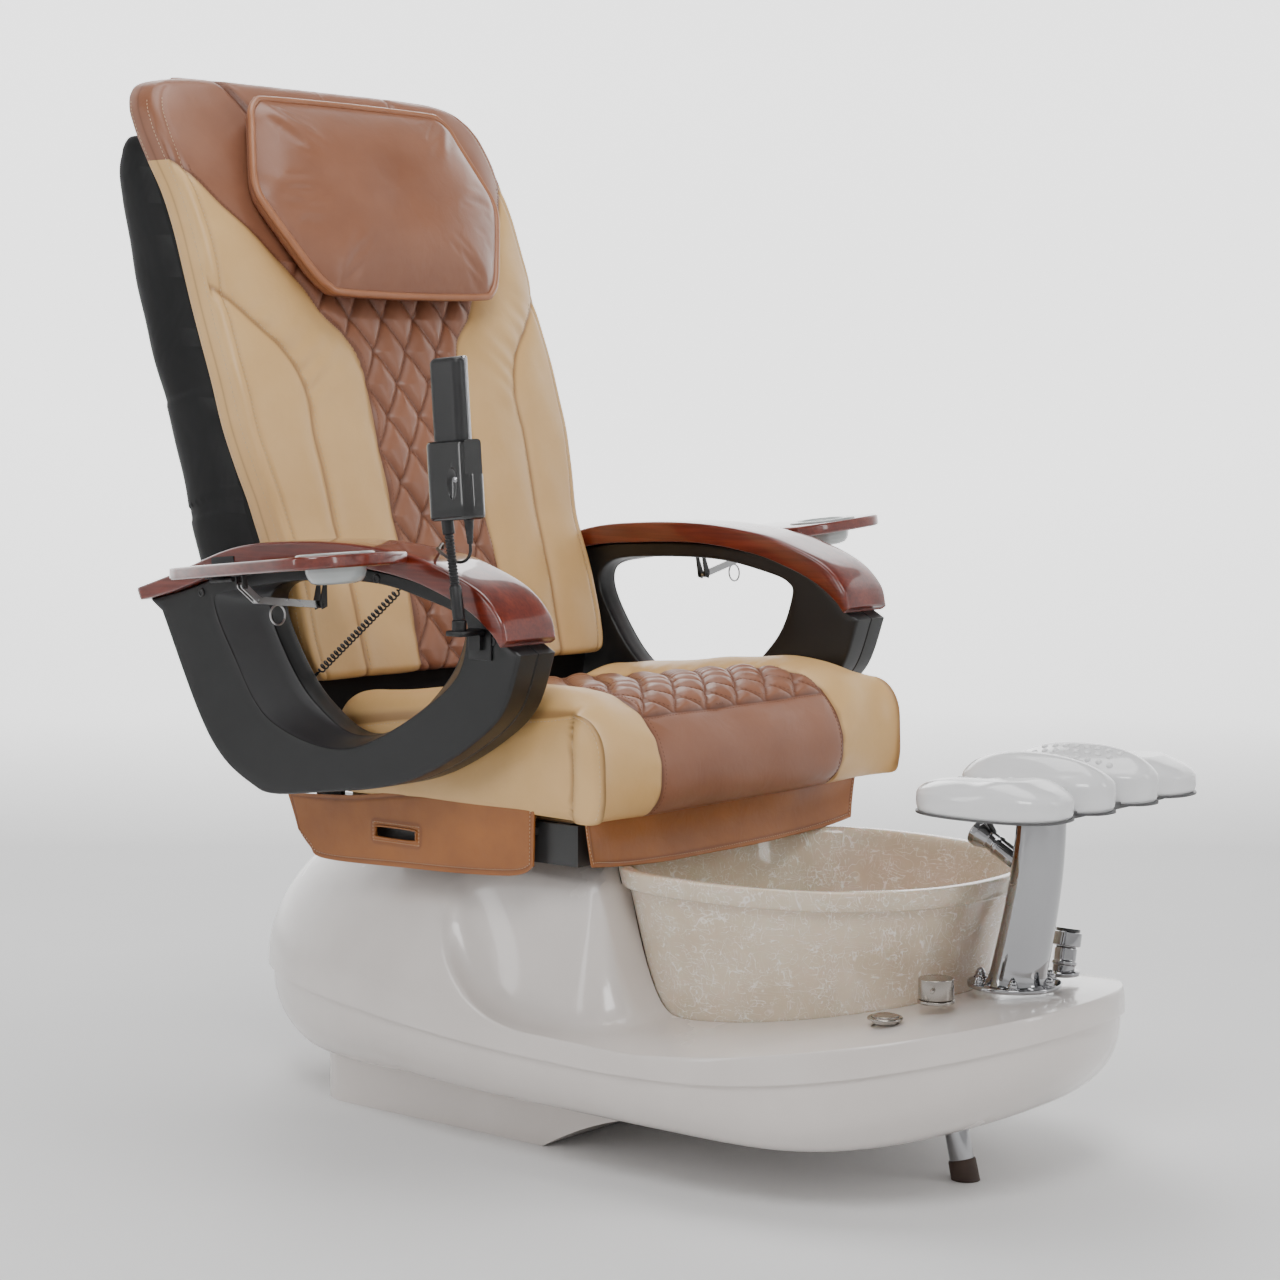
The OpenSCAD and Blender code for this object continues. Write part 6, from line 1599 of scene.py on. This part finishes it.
neck_x = -425.0
lean_holder = (neck_x, -50, 824)
case = as_object(placed(slab(34, 72, 11, ends_soft(0, 97, 5)), lean_holder, -4), "case")
room = as_object(placed(slab(26, 60, 9, [(5, 0), (60, 0), (120, 0)]), lean_holder, -4), "room")
drop = bmesh.new()
at = Matrix.Translation((-0.0185, -0.010, 0.045)) @ Matrix.Diagonal((0.0045, 0.0095, 0.021, 1))
bmesh.ops.create_uvsphere(drop, u_segments=32, v_segments=20, radius=1, matrix=at)
drop = as_object(placed(drop, lean_holder, -4), "drop")
cutaway = as_object(placed(slab(60, 30, 8, [(58, 0), (90, 0), (130, 0)]), (neck_x, -50 - 46, 824), -4), "cutaway")
holder = piece("remote_holder_gloss", cut(case, room, drop, cutaway), gloss_black, "arm_right",
               "remote_holder", sharp=30)
bolt = placed(spun([(0, 0), (4.2, 0), (4.2, 0.8), (3.2, 1.9), (0, 2.3)], 0.4, 24), (-14.6, 0, 0), -90, "Y")
bolt = placed(bolt, (neck_x, -60, 874), -4)
piece("remote_holder_screw", bolt, chrome, "arm_right")

soft_black = speckled("soft_touch_black", (0.012, 0.012, 0.0125), 0.42, 1600.0, 0.00012, tint=(0.018, 0.018, 0.019))
handset = placed(slab(21, 50, 10, ends_soft(4.3, 197.3, 8, 8)), (neck_x, -47, 824), -4)
handset = piece("remote_handset_body", handset, soft_black, "remote_handset", "remote_handset")
band = placed(slab(8, 51.6, 3.9, ends_soft(4.6, 198.0, 3.0, 6)), (neck_x + 6.4, -47, 824), -4)
piece("remote_silver_band", band, chrome, "remote_handset")
plug = spun([(0, -28), (3.4, -28), (3.9, -24), (3.6, -23), (4.3, -19), (4.0, -18), (4.8, -14), (4.5, -13), (5.4, -8),
             (5.6, -1), (6.4, 0),
             (6.4, 4), (0, 4)], 0.4, 32)
piece("remote_plug", placed(plug, (neck_x, -68, 824), -4), black_rubber, "remote_handset")

levels = [(703, 7.2), (705, 7.6), (742, 7.4), (744, 6.6), (745.5, 5.0)]
for i in range(15):
    z0 = 745.5 + 4 * i
    levels += [(z0 + 0.7, 5.0), (z0 + 1.2, 6.0), (z0 + 2.8, 6.0), (z0 + 3.3, 5.0)]
levels += [(806, 5.0), (807, 7.2), (809, 7.6), (823.6, 7.6)]
neck_line = [(neck_x / 1000, (-51 + 19 * (z - 703) / 121) / 1000, z / 1000) for z, _ in levels]
piece("gooseneck_ribbed", tube(neck_line, [r / 1000 for _, r in levels], 28), black_rubber, "arm_right",
             "gooseneck", sharp=50)
plate = box_between((-391, -72, 652), (-388, -34, 690), 1.0)
shelf = box_between((neck_x - 11, -64, 683), (-391, -38, 690), 1.8)
web = rounded_box((-398, -60, 664), (-391.2, -42, 684), 2)
boss = placed(spun([(0, 0), (9, 0), (9, 12), (8, 13.4), (0, 13.4)], 0.8, 40), (neck_x, -51, 689.6))
piece("remote_clamp_bracket", together(plate, shelf, web, boss), moulding, "arm_right",
      "remote_clamp",
              sharp=40)
print("remote", round(handset.dimensions.z, 3), "m tall")

# %% [markdown]
# ## Seams and stitches
# A row of stitches is what tells an eye that a surface is sewn leather. Each stitch is a small rounded grain of
# thread. The rows are drawn as loose lines beside the seams, dropped onto the finished surface and filled with
# grains of the same length, which all lie along the row.

# %% Stitch maker
def sew(name, target, lines, body, colour, pitch=6.0, long=4.4, thick=0.5):
    tree = BVHTree.FromObject(target, bpy.context.evaluated_depsgraph_get())
    whole, few, count = bmesh.new(), bmesh.new(), 0
    for line in lines:
        p = np.array(line, float)
        d = run_along(p)
        at = np.arange(pitch / 2, d[-1], pitch)
        spots, ends = read_off(at, d, p), read_off(at + 0.5, d, p)
        for q, ahead in zip(spots, ends):
            hit, normal, *_ = tree.find_nearest(Vector(q) / 1000)
            run = Vector(ahead - q)
            run -= run.dot(normal) * normal
            if run.length < 1e-6:
                continue
            run.normalize()
            turn = Matrix((run.cross(normal), run, normal)).transposed().to_4x4()
            size = Matrix.Diagonal((thick / 1000, long / 2000, thick / 1000, 1))
            bmesh.ops.create_uvsphere(few, u_segments=6, v_segments=4, radius=1,
                                      matrix=Matrix.Translation(hit + normal * 0.25 * thick / 1000) @ turn @ size)
            count += 1
            if count % 24 == 0:
                whole, few = together(whole, few), bmesh.new()
    piece(name, together(whole, few), colour, body, weld=False, outward=False)
    print(name, count, "stitches")


def on_back(x, z):
    return points(x, back_edge_y(z) - back_front(x, z)[0], z)


def back_line(side_x, z0, z1):
    """A row up the front of the back cushion; side_x gives its place across for each height."""
    z = spread(z0, z1, 160)
    return on_back(side_x(z), z)


# %% Stitches on the back cushion
rows = []
for s in (-1, 1):
    for z0, z1 in ((615, 1160), (1160, 1385)):
        rows.append(back_line(lambda z: s * (back_half(z) - 13.0), z0, z1))
    rows.append(back_line(lambda z: s * (np.minimum(seam_half(z), back_half(z) - 20) - 5.5), 600, 1112))
    z = spread(600, 1380, 200)
    for depth in (8, 42):
        rows.append(points(s * (back_half(z) + 3), back_edge_y(z) + depth, z))
sew("back_stitches_cream", back, rows, "back", thread, pitch=6.5)
rows = []
for s in (-1, 1):
    rows.append(back_line(lambda z: s * (np.minimum(strip_half(z), back_half(z) - 16) - 5), 600, 1290))
for line in yoke_seams:
    rows.append(back_line(lambda z: line(z) + 7, 1180, 1408))
sew("back_stitches_brown", back, rows, "back", brown_thread, pitch=6.5)

# %% Stitches in the quilting
def quilt_rows(inside, low, high, wide, tall, centre, place, step=1.2):
    """Rows along both families of the diamond lattice, kept where the quilting is."""
    found = []
    span = int((high - low) / tall) + 4
    for family in (1, -1):
        for k in range(-span * 2, span * 2 + 1):
            z = np.arange(low, high, step)
            x = family * wide * (k - (z - centre) / tall)
            on = np.where(inside(x, z))[0]
            for r in np.split(on, np.where(np.diff(on) > 1)[0] + 1):
                if len(r) > 6:
                    found.append(place(x[r], z[r]))
    return found


def in_strip(x, z):
    return (np.abs(x) < strip_half(z) - 3) & (z < 1158)


rows = quilt_rows(in_strip, 596, 1158, 64, 92, 1036, on_back)
sew("back_quilt_stitches", back, rows, "back", brown_thread, pitch=7.0, long=4.8, thick=0.45)


def on_seat(x, run_at):
    p = read_off(run_at, run_here, mid_line)
    return points(x, p[:, 0], p[:, 1] + 4)


rows = quilt_rows(lambda x, r: (np.abs(x) < half_mid - 4), 3, seam_run - top_start - 3, 64, 60, 0,
                  lambda x, r: on_seat(x, seam_run - r))
sew("seat_quilt_stitches", seat, rows, "carriage", brown_thread, pitch=7.0, long=4.8, thick=0.45)

# %% Stitches round the seat
run_top = spread(top_start + 10, front_end - 8, 260)
rows = [on_seat(s * (half_mid - 5.5), run_top) for s in (-1, 1)]
rows.append(on_seat(spread(-half_mid + 8, half_mid - 8, 120), np.full(120, seam_run + 6)))
sew("seat_stitches_brown", seat, rows, "carriage", brown_thread)
rows = []
for s in (-1, 1):
    i = (np.searchsorted(run_here, top_start - 5), np.searchsorted(run_here, front_end - 4))
    edge = sewn_line[i[0]:i[1]]
    inner = np.array([60.0, 510.0]) + (edge - np.array([60.0, 510.0])) * 0.965
    rows.append(points(s * seat_side(inner[:, 0]) + s * 6, inner[:, 0], inner[:, 1]))
    rows.append(points(s * 322.0, -124.0, spread(466, 566, 40)))
sew("seat_stitches_cream", seat, rows, "carriage", thread)

# %% Stitches on the skirts and the apron
for hand in (-1, 1):
    skirt = bpy.data.objects[f"skirt_{hand_name(hand)}_leather"]
    ring = np.vstack([between_lines(skirt_top, skirt_low, u, v) for u, v in (
        (spread(0.015, 0.985, 200), np.full(200, 0.07)), (np.full(30, 0.985), spread(0.07, 0.93, 30)))])
    rows = [points(hand * 304.0, ring[:, 0], ring[:, 1])]
    box = np.array([(138, 391), (222, 391), (222, 416), (138, 416), (138, 391)], float)
    rows.append(points(hand * 304.0, box[:, 0], box[:, 1]))
    sew(f"skirt_stitches_{hand_name(hand)}", skirt, rows, "carriage", thread, pitch=5.0, long=3.4,
        thick=0.4)
t = spread(-0.985, 0.985, 240)
low_row = points(np.interp(t, [-1, 1], [-282, 272]), -141.0, 385 + 11 * np.abs(t)**3)
end_row = points(spread(-279, -318, 40), -142.0, spread(393, 486, 40))
other_end = points(spread(268, 284, 30), -140.0, spread(393, 448, 30))
sew("apron_stitches", apron, [low_row, end_row, other_end], "carriage", thread, pitch=5.0, long=3.4,
    thick=0.4)

# %% [markdown]
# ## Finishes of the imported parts
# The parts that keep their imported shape, most of them machinery inside the base and the back, only take a finish.

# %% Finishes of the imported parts
kept = ((steel, "basin_drain slide_channels slide_runners pivot_shaft actuator_rod stay_lower_left stay_lower_right "
                "stay_upper_left stay_upper_right"),
        (painted, "carriage_frame seat_box actuator_tube back_frame tray_hinge_left tray_hinge_right"),
        (dark_plastic, "jet_impeller roller_carriage footrest_plate"), (white_plastic, "jet_cover"),
        (moulding, "jet_motor"), (brass, "water_pipes"), (plywood, "seat_pan"), (roller_plastic, "roller_heads"))
for finish, names in kept:
    for name in names.split():
        for slot in bpy.data.objects[name].material_slots:
            slot.material = finish
print(sum(len(names.split()) for _, names in kept), "packed parts finished")

# %% [markdown]
# ## The studio
# The chair stands in a wide paper bowl: a pale floor that curves up into a wall far outside every camera. The wall
# glows softly behind the chair and stays dim on the side of the camera, so glossy black keeps its depth and chrome
# has something dark to mirror. Large soft lights above and in front do the modelling.

# %% Floor and backdrop
profile = [(0.0, 0.0), (5.0, 0.0)] + [(5.0 + 2.2 * math.sin(a), 2.2 - 2.2 * math.cos(a))
                                      for a in spread(0.1, np.pi / 2, 14)]
bowl = bmesh.new()
verts = [bowl.verts.new((r, 0, z)) for r, z in profile + [(7.2, 5.5)]]
edges = [bowl.edges.new(pair) for pair in zip(verts, verts[1:])]
bmesh.ops.spin(bowl, geom=verts + edges, cent=(0, 0, 0), axis=(0, 0, 1), angle=2 * math.pi, steps=96, use_merge=True)
for f in bowl.faces:
    f.smooth = True
me = into(bpy.data.meshes.new("floor"), bowl)
floor = shown("floor", me)
paper, t, shader = finish_of("pale_paper", Base_Color=(0.88, 0.88, 0.88), Roughness=0.75)
fleck = laid(t, "TexNoise", places(t), Scale=3.0, Detail=3.0)
ramped(t, shader, "Base Color", fleck, (0.3, (0.875, 0.875, 0.875)), (0.7, (0.89, 0.89, 0.89)))
split = t.nodes.new("ShaderNodeSeparateXYZ")
t.links.new(places(t, (0.07, 0.07, 0.07), (0, 0, heading)), split.inputs["Vector"])
lit = ramp(t, split.outputs["Y"], (0.16, 0.0), (0.45, 1.0))
t.links.new(lit, shader.inputs["Emission Color"])
shader.inputs["Emission Strength"].default_value = 1.7
me.materials.append(paper)
print("bowl", round(floor.dimensions.x, 1), "m across")

# %% Lights
def soft_light(name, place, target, size, watts):
    light = bpy.data.lights.new(name, "AREA")
    light.shape, light.size, light.size_y, light.energy = "RECTANGLE", size[0], size[1], watts
    o = shown(name, light)
    o.location = place
    o.rotation_euler = (Vector(target) - Vector(place)).to_track_quat("-Z", "Y").to_euler()


soft_light("key_light", (-2.6, -2.0, 3.4), (0, 0, 0.6), (1.5, 1.5), 72)
soft_light("side_light", (-3.4, 1.8, 1.8), (0, 0, 0.6), (0.6, 2.6), 20)
soft_light("front_light", (1.4, -3.8, 2.0), (0, -0.2, 0.5), (0.6, 2.4), 24)
soft_light("top_light", (0.2, 0.2, 4.2), (0, 0, 0.5), (2.6, 2.6), 80)
soft_light("rear_light", (2.6, 3.2, 3.0), (0, 0, 0.8), (2.0, 2.0), 36)

world = bpy.data.worlds.new("studio_world")
world.use_nodes = True
bpy.context.scene.world = world
t = world.node_tree
sky = t.nodes["Background"]
sky.inputs["Strength"].default_value = 0.2
place = t.nodes.new("ShaderNodeTexCoord")
split = t.nodes.new("ShaderNodeSeparateXYZ")
t.links.new(place.outputs["Generated"], split.inputs["Vector"])
ramped(t, sky, "Color", split.outputs["Z"], (0.0, (0.5, 0.5, 0.5)), (0.9, (0.9, 0.9, 0.9)))
print("lights", len(bpy.data.lights))
